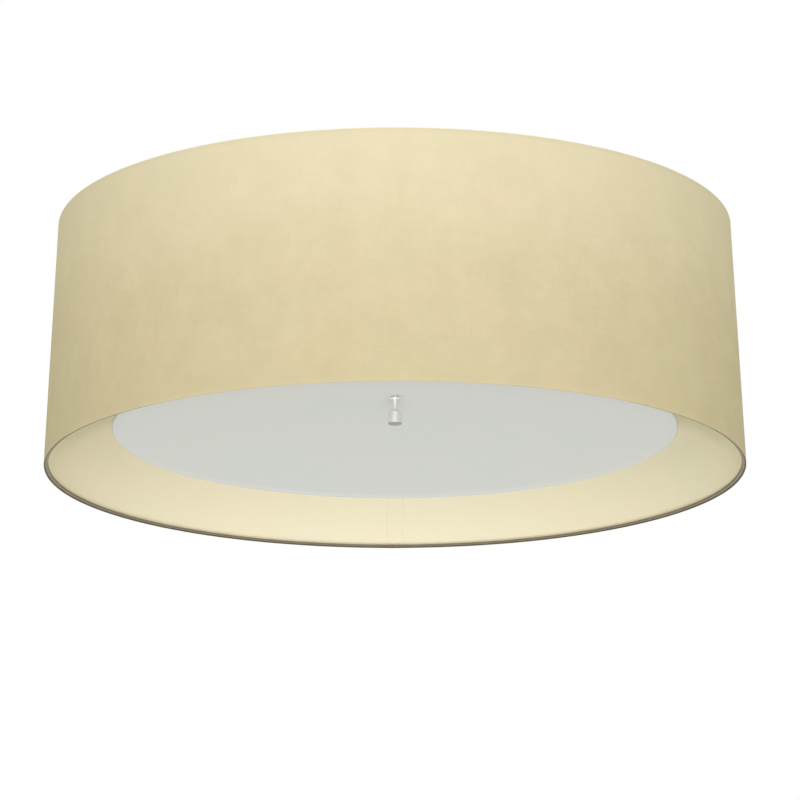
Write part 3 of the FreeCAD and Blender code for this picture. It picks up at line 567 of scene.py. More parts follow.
def lathe_mesh(name, profile, segments=96, closed=True, angle=35):
    """A turned mesh about the Z axis from (radius, level) points."""
    profile = np.asarray(profile, float)
    angles = np.arange(segments) / segments * TAU
    radii = profile[:, :1] * np.ones(segments)
    levels = profile[:, 1:] * np.ones(segments)
    points = np.stack([radii * np.cos(angles), radii * np.sin(angles), levels], -1)
    return tidy_mesh(grid_mesh(name, points, closed=closed), angle)


def washer_profile(inner, outer, low, high, edge):
    """The closed outline of a washer with rounded edges."""
    corners = [(inner, low, edge), (outer, low, edge), (outer, high, edge), (inner, high, edge)]
    return rounded(corners, closed=True, steps=4)


def helix_mesh(name, radius, depth, pitch, low, high, inner, cut=False, segments=64, per_turn=10):
    """A screw thread about Z, closed by a bore of the inner radius, or solid where that is 0.

    cut gives V-shaped crests; without it the thread is rolled, a smooth wave.
    """
    rows = max(4, int(round((high - low) / pitch * per_turn)))
    levels = np.linspace(low, high, rows)
    angles = np.arange(segments) / segments * TAU
    turns = (levels[:, None] / pitch - angles[None, :] / TAU) % 1
    wave = np.abs(turns - 0.5) * 2 if cut else 0.5 - 0.5 * np.cos(turns * TAU)
    near_end = np.minimum(levels - low, high - levels) / (0.6 * pitch)
    lead = 1 - np.clip(near_end, 0, 1)[:, None]
    radii = radius - depth * np.maximum(wave, lead)
    closing = np.full((1, segments), inner)
    radii = np.concatenate([closing, radii, closing])
    levels = np.concatenate([[low], levels, [high]])[:, None] * np.ones(segments)
    points = np.stack([radii * np.cos(angles), radii * np.sin(angles), levels], -1)
    return tidy_mesh(grid_mesh(name, points, closed=inner > 0), 50)


def thread_shell_mesh(name, radius, depth, pitch, low, high, wall, segments=64):
    """A thin sleeve rolled into a screw thread, open at both ends."""
    rows = max(4, int(round((high - low) / pitch * 12)))
    levels = np.linspace(low, high, rows)
    angles = np.arange(segments) / segments * TAU
    turns = levels[:, None] / pitch - angles[None, :] / TAU
    outer = radius - depth * (0.5 - 0.5 * np.cos(turns * TAU))
    radii = np.concatenate([outer, (outer - wall)[::-1]])
    levels = np.concatenate([levels, levels[::-1]])[:, None] * np.ones(segments)
    points = np.stack([radii * np.cos(angles), radii * np.sin(angles), levels], -1)
    return tidy_mesh(grid_mesh(name, points, closed=True), 50)


def hex_mesh(name, flats, rows, turn=0.0):
    """A closed loop of rows (shape, radius or chamfer radius, level) about Z.

    shape "hex" follows the hexagon but never passes the chamfer radius; "round" is a circle.
    """
    angles = np.arange(72) / 72 * TAU
    across = flats / 2 / np.cos((angles + TAU / 12 + turn) % (TAU / 6) - TAU / 12)
    radii = []
    for shape, radius, _ in rows:
        radii.append(np.minimum(across, radius) if shape == "hex" else angles * 0 + radius)
    radii = np.array(radii)
    levels = np.array([row[2] for row in rows])[:, None] * np.ones(len(angles))
    points = np.stack([radii * np.cos(angles), radii * np.sin(angles), levels], -1)
    return tidy_mesh(grid_mesh(name, points, closed=True), 25)


def nut_rows(flats, bore, low, high):
    """Rows of a nut with a chamfered bore and chamfered corners at both ends."""
    corner = flats / math.sqrt(3) * 1.001
    face = flats / 2 * 0.97
    drop = (corner - face) * 0.45
    lead = 0.4 * MM
    return [
        ("round", bore + lead, low),
        ("round", face, low),
        ("hex", face, low),
        ("hex", corner, low + drop),
        ("hex", corner, high - drop),
        ("hex", face, high),
        ("round", face, high),
        ("round", bore + lead, high),
        ("round", bore, high - lead),
        ("round", bore, low + lead),
    ]


def lamp_place(index):
    """Takes a mesh turned about Z to the axis of a lamp, with Z outward."""
    angle = (index - 1) * TAU / len(LAMPS)
    out = Vector((math.cos(angle), math.sin(angle), 0))
    up = Vector((0, 0, 1))
    turn = Matrix((up, out.cross(up), out)).transposed().to_4x4()
    return Matrix.Translation((0, 0, LAMP_LEVEL)) @ turn


def turned_place(index):
    return Matrix.Rotation((index - 1) * TAU / len(LAMPS), 4, "Z")


def settle(piece, *nodes, body=None):
    """The piece rides where its nodes do and stands for them, which are hidden."""
    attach(piece, body or frame["nodes"][nodes[0]]["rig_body"])
    if nodes:
        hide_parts(*nodes)
    return piece


def dress(node, material):
    """Gives a solid that keeps its own shape its finish."""
    piece = frame["nodes"][node]
    piece.data.materials.clear()
    piece.data.materials.append(material)


def joined_mesh(name, meshes):
    """One mesh of several, with their materials' numbers kept."""
    work = bmesh.new()
    for index, mesh in enumerate(meshes):
        start = len(work.faces)
        work.from_mesh(mesh)
        work.faces.ensure_lookup_table()
        for face in work.faces[start:]:
            face.material_index = index
    joined = bpy.data.meshes.new(name)
    work.to_mesh(joined)
    work.free()
    return joined


# ---------------------------------------------------------------- drum shade

LAP_WIDTH = 12 * MM
LAP_ANGLE = TAU / 4
HEM_THICK = 0.3 * MM
HEM_LEVEL = SHADE_BOTTOM - 0.5 * MM


def drum_angles():
    """Directions round the drum, closer together beside the lap at the back."""
    even = np.arange(720) / 720 * TAU
    edge = LAP_WIDTH / 2 / BOTTOM_RADIUS
    shares = np.array([0.3, 0.6, 0.8, 0.9, 0.97, 1.0, 1.03, 1.1, 1.25, 1.5])
    near = LAP_ANGLE + edge * np.concatenate([-shares, shares])
    return np.unique(np.round(np.concatenate([even, near]), 7))


def lap_rise(angles, rise):
    """How far the lapped end of the cloth stands out, soft on one side and cut on the other."""
    along = (angles - LAP_ANGLE) * BOTTOM_RADIUS
    soft = np.clip((along + LAP_WIDTH / 2) / (3 * MM), 0, 1)
    cut = np.clip((LAP_WIDTH / 2 - along) / (0.25 * MM), 0, 1)
    return rise * soft * soft * (3 - 2 * soft) * cut


def drum_ripple(angles, levels, size):
    """A slight unevenness of the wall, as pressed board and cloth have."""
    a, z = angles[None, :], (levels[:, None] - SHADE_BOTTOM) / 0.18
    ripple = (
        np.sin(5 * a + 0.7) * np.cos(2.1 * z + 0.4)
        + 0.7 * np.sin(11 * a + 2.1) * np.cos(3.3 * z + 1.3)
        + 0.5 * np.sin(17 * a + 4.0 + 1.5 * z)
        + 0.35 * np.sin(29 * a + 1.1) * np.cos(4.4 * z)
    )
    return size * ripple


def up_the_wall(inset, low, high):
    """Section points of one face of the drum's wall, as (inset, level)."""
    return [(inset, level) for level in np.linspace(low, high, 46)]


def drum_wall(name, material, outline, ripple, lap=0.0):
    """A thin tapered wall whose closed section is given as (inset, level) points."""
    insets, levels = np.array(outline).T
    angles = drum_angles()
    radii = (shade_radius(levels) - insets)[:, None] + drum_ripple(angles, levels, ripple)
    outward = (insets < FABRIC / 2)[:, None]
    radii = radii + lap_rise(angles, lap)[None, :] * outward
    levels_grid = levels[:, None] * np.ones(len(angles))
    points = np.stack([radii * np.cos(angles), radii * np.sin(angles), levels_grid], -1)
    across = np.append(angles, TAU) * BOTTOM_RADIUS
    mesh = grid_mesh(name, points, closed=True, uv=(across, np.append(levels, levels[-1])))
    return new_object(name, tidy_mesh(mesh, 60), material)


def make_cover():
    """The cloth, whose thin hem reaches past the wall and hides the tape from the front."""
    edge, lip, low = 0.12 * MM, HEM_THICK, HEM_LEVEL
    outline = up_the_wall(0.0, low + edge, COVER_TOP - edge)
    outline += [(0.04 * MM, COVER_TOP - 0.03 * MM), (edge, COVER_TOP)]
    outline += [(FABRIC - edge, COVER_TOP), (FABRIC - 0.04 * MM, COVER_TOP - 0.03 * MM)]
    outline += up_the_wall(FABRIC, COVER_TOP - edge, COVER_BOTTOM + edge)
    outline += [(FABRIC - edge, COVER_BOTTOM), (lip, COVER_BOTTOM), (lip, low + 0.05 * MM)]
    outline += [(lip - 0.06 * MM, low), (0.06 * MM, low)]
    cover = drum_wall("linen_cover", linen, outline, 0.05 * MM, 0.55 * MM)
    settle(cover, "shade_fabric")
    return cover


def make_shade_lining():
    edge, inner = 0.08 * MM, LINER_INSET + LINER
    outline = up_the_wall(LINER_INSET, COVER_BOTTOM + edge, COVER_TOP - edge)
    outline += [(LINER_INSET + edge, COVER_TOP), (inner - edge, COVER_TOP)]
    outline += up_the_wall(inner, COVER_TOP - edge, COVER_BOTTOM + edge)
    outline += [(inner - edge, COVER_BOTTOM), (LINER_INSET + edge, COVER_BOTTOM)]
    return settle(drum_wall("shade_lining", lining, outline, 0.05 * MM), "shade_liner")


def make_lining_seam():
    """The lining's overlapped joint: a strip with thinned edges up the far side."""
    low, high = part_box("shade_seam")[0][2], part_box("shade_seam")[1][2]
    across = np.linspace(-0.5, 0.5, 25)
    levels = np.linspace(low, high, 40)
    angles = LAP_ANGLE + across * LAP_WIDTH / BOTTOM_RADIUS
    thick = 0.34 * MM * np.clip((0.5 - np.abs(across)) / 0.08, 0.12, 1)
    outer = np.array([shade_radius(level) for level in levels])[:, None] - WALL - 0.12 * MM
    face = outer - thick[None, :] - 0.03 * MM * np.sin(levels[:, None] * 90 + across * 5)
    radii = np.concatenate([outer * np.ones(len(across)), face[:, ::-1]], 1)
    spread = np.concatenate([angles, angles[::-1]])
    grid = levels[:, None] * np.ones(len(spread))
    points = np.stack([radii * np.cos(spread), radii * np.sin(spread), grid], -1)
    uv = (np.append(spread, spread[:1]) * BOTTOM_RADIUS, np.append(levels, levels[-1]))
    mesh = grid_mesh("lining_seam", points, uv=uv)
    work = bmesh.new()
    work.from_mesh(mesh)
    bmesh.ops.holes_fill(work, edges=[edge for edge in work.edges if edge.is_boundary])
    work.to_mesh(mesh)
    work.free()
    return settle(new_object("lining_seam", tidy_mesh(mesh, 40), lining), "shade_seam")


def make_edge_tape(name, node, corners, materials, parting=0.0):
    """A tape along one end of the drum, whose section has (radius, level, rounding) corners.

    Its second material, if any, covers what lies within the parting radius.
    """
    profile = np.array(rounded(corners, closed=True, steps=4))
    angles = np.arange(960) / 960 * TAU
    waves = 0.03 * MM * np.sin(37 * angles + 1.0) * np.sin(9 * angles)
    radii = profile[:, :1] + waves[None, :]
    levels = profile[:, 1:] * np.ones(len(angles))
    points = np.stack([radii * np.cos(angles), radii * np.sin(angles), levels], -1)
    across = np.append(angles, TAU) * BOTTOM_RADIUS
    along = np.append(profile[:, 0], profile[0, 0])
    mesh = grid_mesh(name, points, closed=True, uv=(across, along))
    inside = (profile[:, 0] + np.roll(profile[:, 0], -1)) / 2 < parting
    mesh.polygons.foreach_set("material_index", np.repeat(inside.astype(np.int32), len(angles)))
    return settle(new_object(name, tidy_mesh(mesh, 50), *materials), node)


def make_bottom_tape():
    """The dark tape stands inside the cloth's hem and turns in under the wrapped wire ring; its dark colours
    are a dark trim and also painted shade on the drum's downward-facing edge.
    """
    over = COVER_BOTTOM - 0.02 * MM
    under = COVER_BOTTOM - 0.24 * MM
    outer = BOTTOM_RADIUS - HEM_THICK - 0.04 * MM
    face = outer - 0.2 * MM
    parting = BOTTOM_RADIUS - 1.05 * MM
    inner = BOTTOM_RADIUS - 3.03 * MM
    corners = [
        (outer, over, 0),
        (outer, HEM_LEVEL + 0.04 * MM, 0.05 * MM),
        (face, HEM_LEVEL + 0.04 * MM, 0.05 * MM),
        (face, under, 0),
        (parting, under, 0),
        (inner, under, 0.06 * MM),
        (inner, over, 0.06 * MM),
        (parting, over, 0),
    ]
    # Painted shade: both tape colours darken the downward-facing edge of the drum, where shade falls, as well
    # as being a dark trim.
    materials = (taupe_tape, tan_tape)
    return make_edge_tape("bottom_tape", "bottom_edging", corners, materials, parting)


def make_top_tape():
    outer, inner = TOP_RADIUS, TOP_RADIUS - 5.05 * MM
    corners = [
        (inner, COVER_TOP, 0.08 * MM),
        (outer, COVER_TOP, 0.05 * MM),
        (outer, SHADE_TOP, 0.22 * MM),
        (inner, SHADE_TOP, 0.22 * MM),
    ]
    return make_edge_tape("top_tape", "top_edging", corners, (cream_tape,))


make_cover()
make_shade_lining()
make_lining_seam()
make_bottom_tape()
make_top_tape()

# ---------------------------------------------------------------- diffuser and finial

DISH_REACH = 203.5 * MM
DISH_RISE = 27 * MM
DISH_THICK = 2.5 * MM
BEAD = 2 * MM
RIM_LEVEL = SHADE_BOTTOM + 28.5 * MM
DISH_UNDER = RIM_LEVEL + DISH_RISE
DISH_TOP = DISH_UNDER + DISH_THICK
SPHERE = (DISH_REACH**2 + DISH_RISE**2) / (2 * DISH_RISE)


def make_dish():
    """The frosted dish, hollow side down, its faces running smoothly into a rolled bead."""
    centre = DISH_UNDER - SPHERE
    hole = 2.5 * MM
    rim = RIM_LEVEL + DISH_THICK / 2
    outward = np.linspace(hole + 0.3 * MM, DISH_REACH - 3 * MM, 90)
    under = [(r, centre + math.sqrt(SPHERE**2 - r * r)) for r in outward]
    top = SPHERE + DISH_THICK
    above = [(r, centre + math.sqrt(top**2 - r * r)) for r in outward[::-1]]

    def touching(point, side):
        """The angle round the bead where a straight run from the point touches it."""
        across, over = point[0] - DISH_REACH, point[1] - rim
        return math.atan2(over, across) + side * math.acos(BEAD / math.hypot(across, over))

    start, end = touching(under[-1], 1), touching(above[0], -1)
    start = start if start < 0 else start - TAU
    bends = np.linspace(start, end, 24)
    bead = [(DISH_REACH + BEAD * math.cos(b), rim + BEAD * math.sin(b)) for b in bends]
    edge = [(hole, above[-1][1] - 0.3 * MM), (hole, under[0][1] + 0.3 * MM)]
    mesh = lathe_mesh("frosted_dish", under + bead + above + edge, 360, True, 40)
    return settle(new_object("frosted_dish", mesh, frosted), "diffuser")


def make_finial():
    """Turned finial: collar, slim neck and a barrel with a sloped shoulder, its end painted darker as painted
    shade under it.
    """
    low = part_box("finial")[0][2]
    thread_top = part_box("finial")[1][2]
    collar_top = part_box("clear_washer")[0][2] - 0.05 * MM
    collar_under = collar_top - 0.6 * MM
    neck_end = collar_under - 8.2 * MM
    shoulder = neck_end - 2.2 * MM
    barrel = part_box("finial")[1][0]
    side = [
        (0, collar_top, 0),
        (3 * MM, collar_top, 0.12 * MM),
        (3 * MM, collar_under, 0.25 * MM),
        (1.8 * MM, collar_under, 0.5 * MM),
        (1.8 * MM, neck_end, 0.5 * MM),
        (barrel, shoulder, 0.9 * MM),
        (barrel, low + 0.5 * MM, 0),
    ]
    # The end face and its chamfer take the darker nickel: painted shade under the barrel.
    end = [
        (barrel, low + 0.5 * MM, 0),
        (barrel - 0.5 * MM, low, 0.3 * MM),
        (0, low, 0),
    ]
    turned = lathe_mesh("finial_side", rounded(side), 96, False, 28)
    face = lathe_mesh("finial_face", rounded(end), 96, False, 28)
    mesh = joined_mesh("finial_knob", [turned, face])
    knob = settle(new_object("finial_knob", mesh, satin_nickel, shaded_nickel_end), "finial")
    core = helix_mesh(
        "finial_thread", 2 * MM, 0.32 * MM, 0.7 * MM, collar_top, thread_top, 0.0, True, 36
    )
    thread = new_object("finial_thread", core, satin_nickel)
    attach(thread, "finial_screw")
    return knob


def make_dish_washers():
    low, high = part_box("clear_washer")
    profile = washer_profile(2.3 * MM, high[0], low[2], high[2], 0.3 * MM)
    washer = new_object("clear_ring", lathe_mesh("clear_ring", profile, 96), clear)
    settle(washer, "clear_washer")
    low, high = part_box("cushion_washer")
    profile = washer_profile(2.3 * MM, high[0], low[2], high[2], 0.35 * MM)
    settle(new_object("soft_ring", lathe_mesh("soft_ring", profile, 96), silicone), "cushion_washer")


make_dish()
make_finial()
make_dish_washers()

# ---------------------------------------------------------------- hanging hardware


def make_rod():
    mesh = helix_mesh(
        "threaded_rod", 4.85 * MM, 0.55 * MM, 1.0 * MM, ROD_END, ROD_TOP, 3 * MM, True, 48, 8
    )
    settle(new_object("threaded_rod", mesh, zinc), "centre_rod")


def make_rod_hardware():
    """Nuts and washers that clamp the pan and the hub on the rod, and the seat's lock nut."""
    thick, plate = 4.5 * MM, 1.2 * MM
    inside = PAN_UNDER + 0.9 * MM
    levels = (inside + plate, HUB_UNDER - plate - thick, SEAT_TOP)
    nuts = [
        hex_mesh(f"nut_{n}", 14 * MM, nut_rows(14 * MM, 4.9 * MM, low, low + thick), 0.2 * n)
        for n, low in enumerate(levels)
    ]
    settle(new_object("rod_nut_set", joined_mesh("rod_nut_set", nuts), zinc, zinc, zinc), "rod_nuts")
    rings = [
        lathe_mesh(f"ring_{n}", washer_profile(4.9 * MM, 11 * MM, low, low + plate, 0.25 * MM), 72)
        for n, low in enumerate((inside, HUB_UNDER - plate))
    ]
    settle(new_object("rod_washer_set", joined_mesh("rod_washer_set", rings), zinc, zinc), "rod_washers")


def make_seat():
    """Flanged hexagon coupling, drilled for the rod above and the finial below."""
    flats, corner = 14 * MM, 14 * MM / math.sqrt(3) * 1.001
    face = 6.8 * MM
    rows = [
        ("round", 2.35 * MM, SEAT_UNDER),
        ("round", 15.7 * MM, SEAT_UNDER),
        ("round", 16 * MM, SEAT_UNDER + 0.3 * MM),
        ("round", 16 * MM, SEAT_UNDER + 1.5 * MM),
        ("round", 15.5 * MM, SEAT_UNDER + 2 * MM),
        ("hex", corner, SEAT_UNDER + 2 * MM),
        ("hex", corner, SEAT_TOP - 0.7 * MM),
        ("hex", face, SEAT_TOP),
        ("round", face, SEAT_TOP),
        ("round", 5.2 * MM, SEAT_TOP),
        ("round", 4.9 * MM, SEAT_TOP - 0.3 * MM),
        ("round", 4.9 * MM, ROD_END),
        ("round", 2.05 * MM, ROD_END),
        ("round", 2.05 * MM, SEAT_UNDER + 0.3 * MM),
    ]
    settle(new_object("seat_coupling", hex_mesh("seat_coupling", flats, rows), zinc), "diffuser_seat")


def make_stud_set():
    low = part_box("pan_studs")[0][2]
    meshes = []
    for side in (-1, 1):
        mesh = helix_mesh(
            f"stud_{side + 2}", 2 * MM, 0.32 * MM, 0.7 * MM, low, 0.0, 0.0, True, 32, 8
        )
        mesh.transform(Matrix.Translation((0, side * 60 * MM, 0)))
        meshes.append(mesh)
    settle(new_object("stud_set", joined_mesh("stud_set", meshes), zinc, zinc), "pan_studs")


def make_cap_nuts():
    """Smooth domed nuts, one under each side of the pan."""
    low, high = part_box("pan_cap_nuts")
    radius = 4 * MM
    dome = low[2] + radius
    bend = [(radius * math.cos(a), dome - radius * math.sin(a)) for a in np.linspace(0, 1.5, 14)]
    bore_end = high[2] - 6.05 * MM
    outline = [(2.05 * MM, bore_end), (2.05 * MM, high[2]), (radius - 0.3 * MM, high[2])]
    outline += [(radius, high[2] - 0.3 * MM)] + bend + [(0, low[2]), (0, bore_end)]
    meshes = []
    for side in (-1, 1):
        mesh = lathe_mesh(f"cap_nut_{side + 2}", outline, 72)
        mesh.transform(Matrix.Translation((0, side * 60 * MM, 0)))
        meshes.append(mesh)
    settle(new_object("cap_nut_set", joined_mesh("cap_nut_set", meshes), enamel, enamel), "pan_cap_nuts")


def make_bushings():
    low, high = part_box("lead_bushings")[0][2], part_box("lead_bushings")[1][2]
    bore, barrel, flange = 3 * MM, 4.6 * MM, 6.6 * MM
    corners = [
        (bore, low, 0.5 * MM),
        (flange, low, 0.6 * MM),
        (flange, PAN_UNDER, 0.1 * MM),
        (barrel, PAN_UNDER, 0),
        (barrel, high, 0.5 * MM),
        (bore, high, 0.4 * MM),
    ]
    mesh = lathe_mesh("bushing", rounded(corners, closed=True), 56)
    meshes = []
    for index in LAMPS:
        angle = (index - 1) * TAU / 3 + math.radians(20)
        copy = mesh.copy()
        copy.transform(Matrix.Translation((71 * MM * math.cos(angle), 71 * MM * math.sin(angle), 0)))
        meshes.append(copy)
    settle(
        new_object("bushing_set", joined_mesh("bushing_set", meshes), nylon, nylon, nylon),
        "lead_bushings",
    )


def make_felt_ring():
    """Needled felt ring, its faces uneven and its cut edges soft."""
    low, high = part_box("insulation_pad")
    inner, outer = 78 * MM, 140 * MM
    spread = np.linspace(outer - 4 * MM, inner + 4 * MM, 22)
    corners = [
        (inner, low[2], 0.8 * MM),
        (outer, low[2], 0.8 * MM),
        (outer, high[2], 1.6 * MM),
        *[(radius, high[2], 0) for radius in spread],
        (inner, high[2], 1.6 * MM),
    ]
    profile = np.array(rounded(corners, closed=True, steps=6))
    angles = np.arange(420) / 420 * TAU
    radii = profile[:, :1] * np.ones(len(angles))
    levels = profile[:, 1:] * np.ones(len(angles))
    wave = (
        np.sin(radii * 190 + 3 * angles)
        + np.sin(23 * angles + radii * 70)
        + 0.8 * np.sin(61 * angles + radii * 260)
        + 0.5 * np.sin(97 * angles - radii * 410)
    )
    upper = (profile[:, 1:] > low[2] + 2.5 * MM) * 1.0
    levels = levels - upper * (0.28 * MM + 0.09 * MM * wave)
    points = np.stack([radii * np.cos(angles), radii * np.sin(angles), levels], -1)
    mesh = tidy_mesh(grid_mesh("felt_ring", points, closed=True), 60)
    ring_piece = settle(new_object("felt_ring", mesh, felt), "insulation_pad")


def make_ground_screw():
    """Green screw with a washer-faced hexagon head."""
    low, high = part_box("ground_screw")
    under = -1.8 * MM
    flats = 6.8 * MM
    corner = flats / math.sqrt(3) * 1.001
    rows = [
        ("round", 0, low[2]),
        ("round", 3.0 * MM, low[2]),
        ("hex", 3.1 * MM, low[2]),
        ("hex", corner, low[2] + 0.35 * MM),
        ("hex", corner, under - 0.6 * MM),
        ("round", 4 * MM, under - 0.55 * MM),
        ("round", 4 * MM, under),
        ("round", 0, under),
    ]
    head = hex_mesh("ground_head", flats, rows)
    shank = helix_mesh(
        "ground_shank", 2 * MM, 0.3 * MM, 0.7 * MM, under, -0.02 * MM, 0.0, True, 32, 8
    )
    mesh = joined_mesh("green_screw", [head, shank])
    mesh.transform(Matrix.Translation((0, 16 * MM, 0)))
    settle(new_object("green_screw", mesh, green_zinc, green_zinc), "ground_screw")


def make_welds():
    """Small weld beads where each arm meets the hub and the top ring."""
    for index in LAMPS:
        angle = (index - 1) * TAU / 3 + TAU / 6
        out = Vector((math.cos(angle), math.sin(angle), 0))
        across = Vector((-math.sin(angle), math.cos(angle), 0))
        for name, reach, level, size in (
            ("hub_weld", 21 * MM, HUB_UNDER - 1.1 * MM, (3.4, 2.9, 1.25)),
            ("ring_weld", 241.4 * MM, -8.7 * MM, (1.5, 2.9, 1.9)),
        ):
            work = bmesh.new()
            bmesh.ops.create_icosphere(work, subdivisions=4, radius=1.0)
            for vert in work.verts:
                p = vert.co
                lump = 1 + 0.05 * math.sin(9 * p.x + 2 * index) * math.sin(7 * p.y + 4 * p.z)
                local = [p.x * size[0] * lump, p.y * size[1] * lump, p.z * size[2] * lump]
                place = out * (reach + local[0] * MM) + across * (local[1] * MM)
                vert.co = place + Vector((0, 0, level + local[2] * MM))
            mesh = bpy.data.meshes.new(f"{name}_{index}")
            work.to_mesh(mesh)
            work.free()
            bead = new_object(f"{name}_{index}", tidy_mesh(mesh, 60), coated_wire)
            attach(bead, "fixture")


make_rod()
make_rod_hardware()
make_seat()
make_stud_set()
make_cap_nuts()
make_bushings()
make_felt_ring()
make_ground_screw()
make_welds()
dress("crossbar", zinc)
dress("ceiling_pan", enamel)
dress("spider_hub", coated_wire)
dress("top_ring", coated_wire)
dress("bottom_ring", ring_wrap)

# ---------------------------------------------------------------- lampholders and lamps

CAP_END = HOLDER_MOUTH + 0.3 * MM
CAP_START = CAP_END - 25 * MM
FOOT_TIP = CAP_START - 4 * MM
BULB_TIP = FOOT_TIP + 108 * MM
HOUSING_END = CAP_END + 32 * MM
HOLDER_FLOOR = HOLDER_BACK + 8 * MM
THREAD_PITCH = 3.63 * MM


def holder_mesh():
    """Glazed porcelain cup with a thicker lip round its mouth."""
    corners = [
        (0, HOLDER_BACK, 0),
        (18.5 * MM, HOLDER_BACK, 1.2 * MM),
        (18.5 * MM, HOLDER_MOUTH - 6.5 * MM, 1.5 * MM),
        (20 * MM, HOLDER_MOUTH - 5 * MM, 1.0 * MM),
        (20 * MM, HOLDER_MOUTH, 1.2 * MM),
        (14.0 * MM, HOLDER_MOUTH, 0.9 * MM),
        (14.0 * MM, HOLDER_FLOOR, 0.3 * MM),
        (0, HOLDER_FLOOR, 0),
    ]
    return lathe_mesh("porcelain_cup", rounded(corners), 120, False)


def shell_mesh():
    """Brass sleeve rolled to the lamp's thread, with a turned-in base."""
    mouth = HOLDER_MOUTH - 2 * MM
    start = HOLDER_FLOOR + 1.2 * MM
    sleeve = thread_shell_mesh("shell_thread", 13.9 * MM, 0.25 * MM, THREAD_PITCH, start, mouth, 0.25 * MM)
    base = [
        (9 * MM, HOLDER_FLOOR + 0.02 * MM, 0),
        (13.75 * MM, HOLDER_FLOOR + 0.02 * MM, 0.4 * MM),
        (13.75 * MM, start + 0.4 * MM, 0),
        (13.45 * MM, start + 0.4 * MM, 0),
        (13.45 * MM, HOLDER_FLOOR + 0.45 * MM, 0.3 * MM),
        (9 * MM, HOLDER_FLOOR + 0.45 * MM, 0),
    ]
    cup = lathe_mesh("shell_base", rounded(base, closed=True), 96)
    return joined_mesh("brass_shell", [sleeve, cup])


def cap_mesh():
    """Rolled screw cap of the lamp, closed behind down to its insulator."""
    thread = helix_mesh(
        "cap_thread", 13.1 * MM, 0.75 * MM, THREAD_PITCH, CAP_START + 1.6 * MM, CAP_END - 1.2 * MM,
        12.0 * MM, False, 96, 14
    )
    skirt = [
        (9.15 * MM, CAP_START, 0),
        (12.3 * MM, CAP_START + 0.4 * MM, 0.5 * MM),
        (12.4 * MM, CAP_START + 1.9 * MM, 0),
        (12.0 * MM, CAP_START + 1.9 * MM, 0),
        (9.15 * MM, CAP_START + 0.4 * MM, 0),
    ]
    collar = [
        (12.35 * MM, CAP_END - 1.6 * MM, 0),
        (13.05 * MM, CAP_END - 1.0 * MM, 0.2 * MM),
        (13.1 * MM, CAP_END, 0.1 * MM),
        (12.75 * MM, CAP_END, 0),
        (12.0 * MM, CAP_END - 1.6 * MM, 0),
    ]
    pieces = [thread]
    pieces.append(lathe_mesh("cap_skirt", rounded(skirt, closed=True), 96))
    pieces.append(lathe_mesh("cap_collar", rounded(collar, closed=True), 96))
    return joined_mesh("screw_cap", pieces)


def foot_mesh():
    """Black insulator with the centre contact soldered on its tip."""
    cone = [
        (0, CAP_START + 0.2 * MM, 0),
        (9.1 * MM, CAP_START + 0.2 * MM, 0.1 * MM),
        (9.1 * MM, CAP_START - 0.2 * MM, 0.3 * MM),
        (5.2 * MM, FOOT_TIP + 0.9 * MM, 0.6 * MM),
        (4.5 * MM, FOOT_TIP + 0.55 * MM, 0.2 * MM),
        (0, FOOT_TIP + 0.55 * MM, 0),
    ]
    button = [
        (0, FOOT_TIP + 0.6 * MM, 0),
        (4.3 * MM, FOOT_TIP + 0.6 * MM, 0),
        (4.3 * MM, FOOT_TIP + 0.2 * MM, 0.2 * MM),
        (2.4 * MM, FOOT_TIP, 0.6 * MM),
        (0, FOOT_TIP, 0),
    ]
    return joined_mesh(
        "lamp_foot",
        [
            lathe_mesh("foot_cone", rounded(cone), 72, False),
            lathe_mesh("foot_button", rounded(button), 72, False),
        ],
    )


def housing_mesh():
    """Lamp body: a neck in the cap, a collar and a flare that swells up to the dome."""
    start, rise = CAP_END + 4 * MM, HOUSING_END - CAP_END - 4 * MM
    shares = np.linspace(0, 1, 26)
    flare = [((13.5 + 15.0 * share**0.9) * MM, start + rise * share) for share in shares]
    neck = [
        (0, CAP_START + 0.8 * MM, 0),
        (9 * MM, CAP_START + 0.8 * MM, 0.4 * MM),
        (11.9 * MM, CAP_START + 2.4 * MM, 0.4 * MM),
        (11.9 * MM, CAP_END - 1.2 * MM, 0),
        (12.6 * MM, CAP_END + 0.05 * MM, 0),
        (13.5 * MM, CAP_END + 0.05 * MM, 0.3 * MM),
        (13.5 * MM, start - 0.3 * MM, 0),
    ]
    ring = [(28.4 * MM, HOUSING_END - 0.2 * MM), (28.0 * MM, HOUSING_END - 0.05 * MM)]
    profile = rounded(neck) + flare[:-1] + ring + [(0, HOUSING_END - 0.05 * MM)]
    return lathe_mesh("lamp_housing", profile, 120, False, 30)


def dome_mesh():
    """Opal dome, meeting the housing at a fine parting line."""
    radius, wall, edge = 30 * MM, 1.2 * MM, 28.5 * MM
    centre = BULB_TIP - radius
    shares = np.linspace(0, 1, 9)[:-1]
    swell = [
        (edge + (radius - edge) * math.sin(share * math.pi / 2), HOUSING_END + (centre - HOUSING_END) * share)
        for share in shares
    ]
    bends = np.linspace(0, math.pi / 2, 46)[:-1]
    outside = [(radius * math.cos(b), centre + radius * math.sin(b)) for b in bends]
    inside = [(r - wall, level) for r, level in swell]
    hollow = radius - wall
    inside += [(hollow * math.cos(b), centre + hollow * math.sin(b)) for b in bends[::3]]
    tips = [(0, BULB_TIP), (0, BULB_TIP - wall)]
    return lathe_mesh("opal_dome", swell + outside + tips + inside[::-1], 120, True, 30)


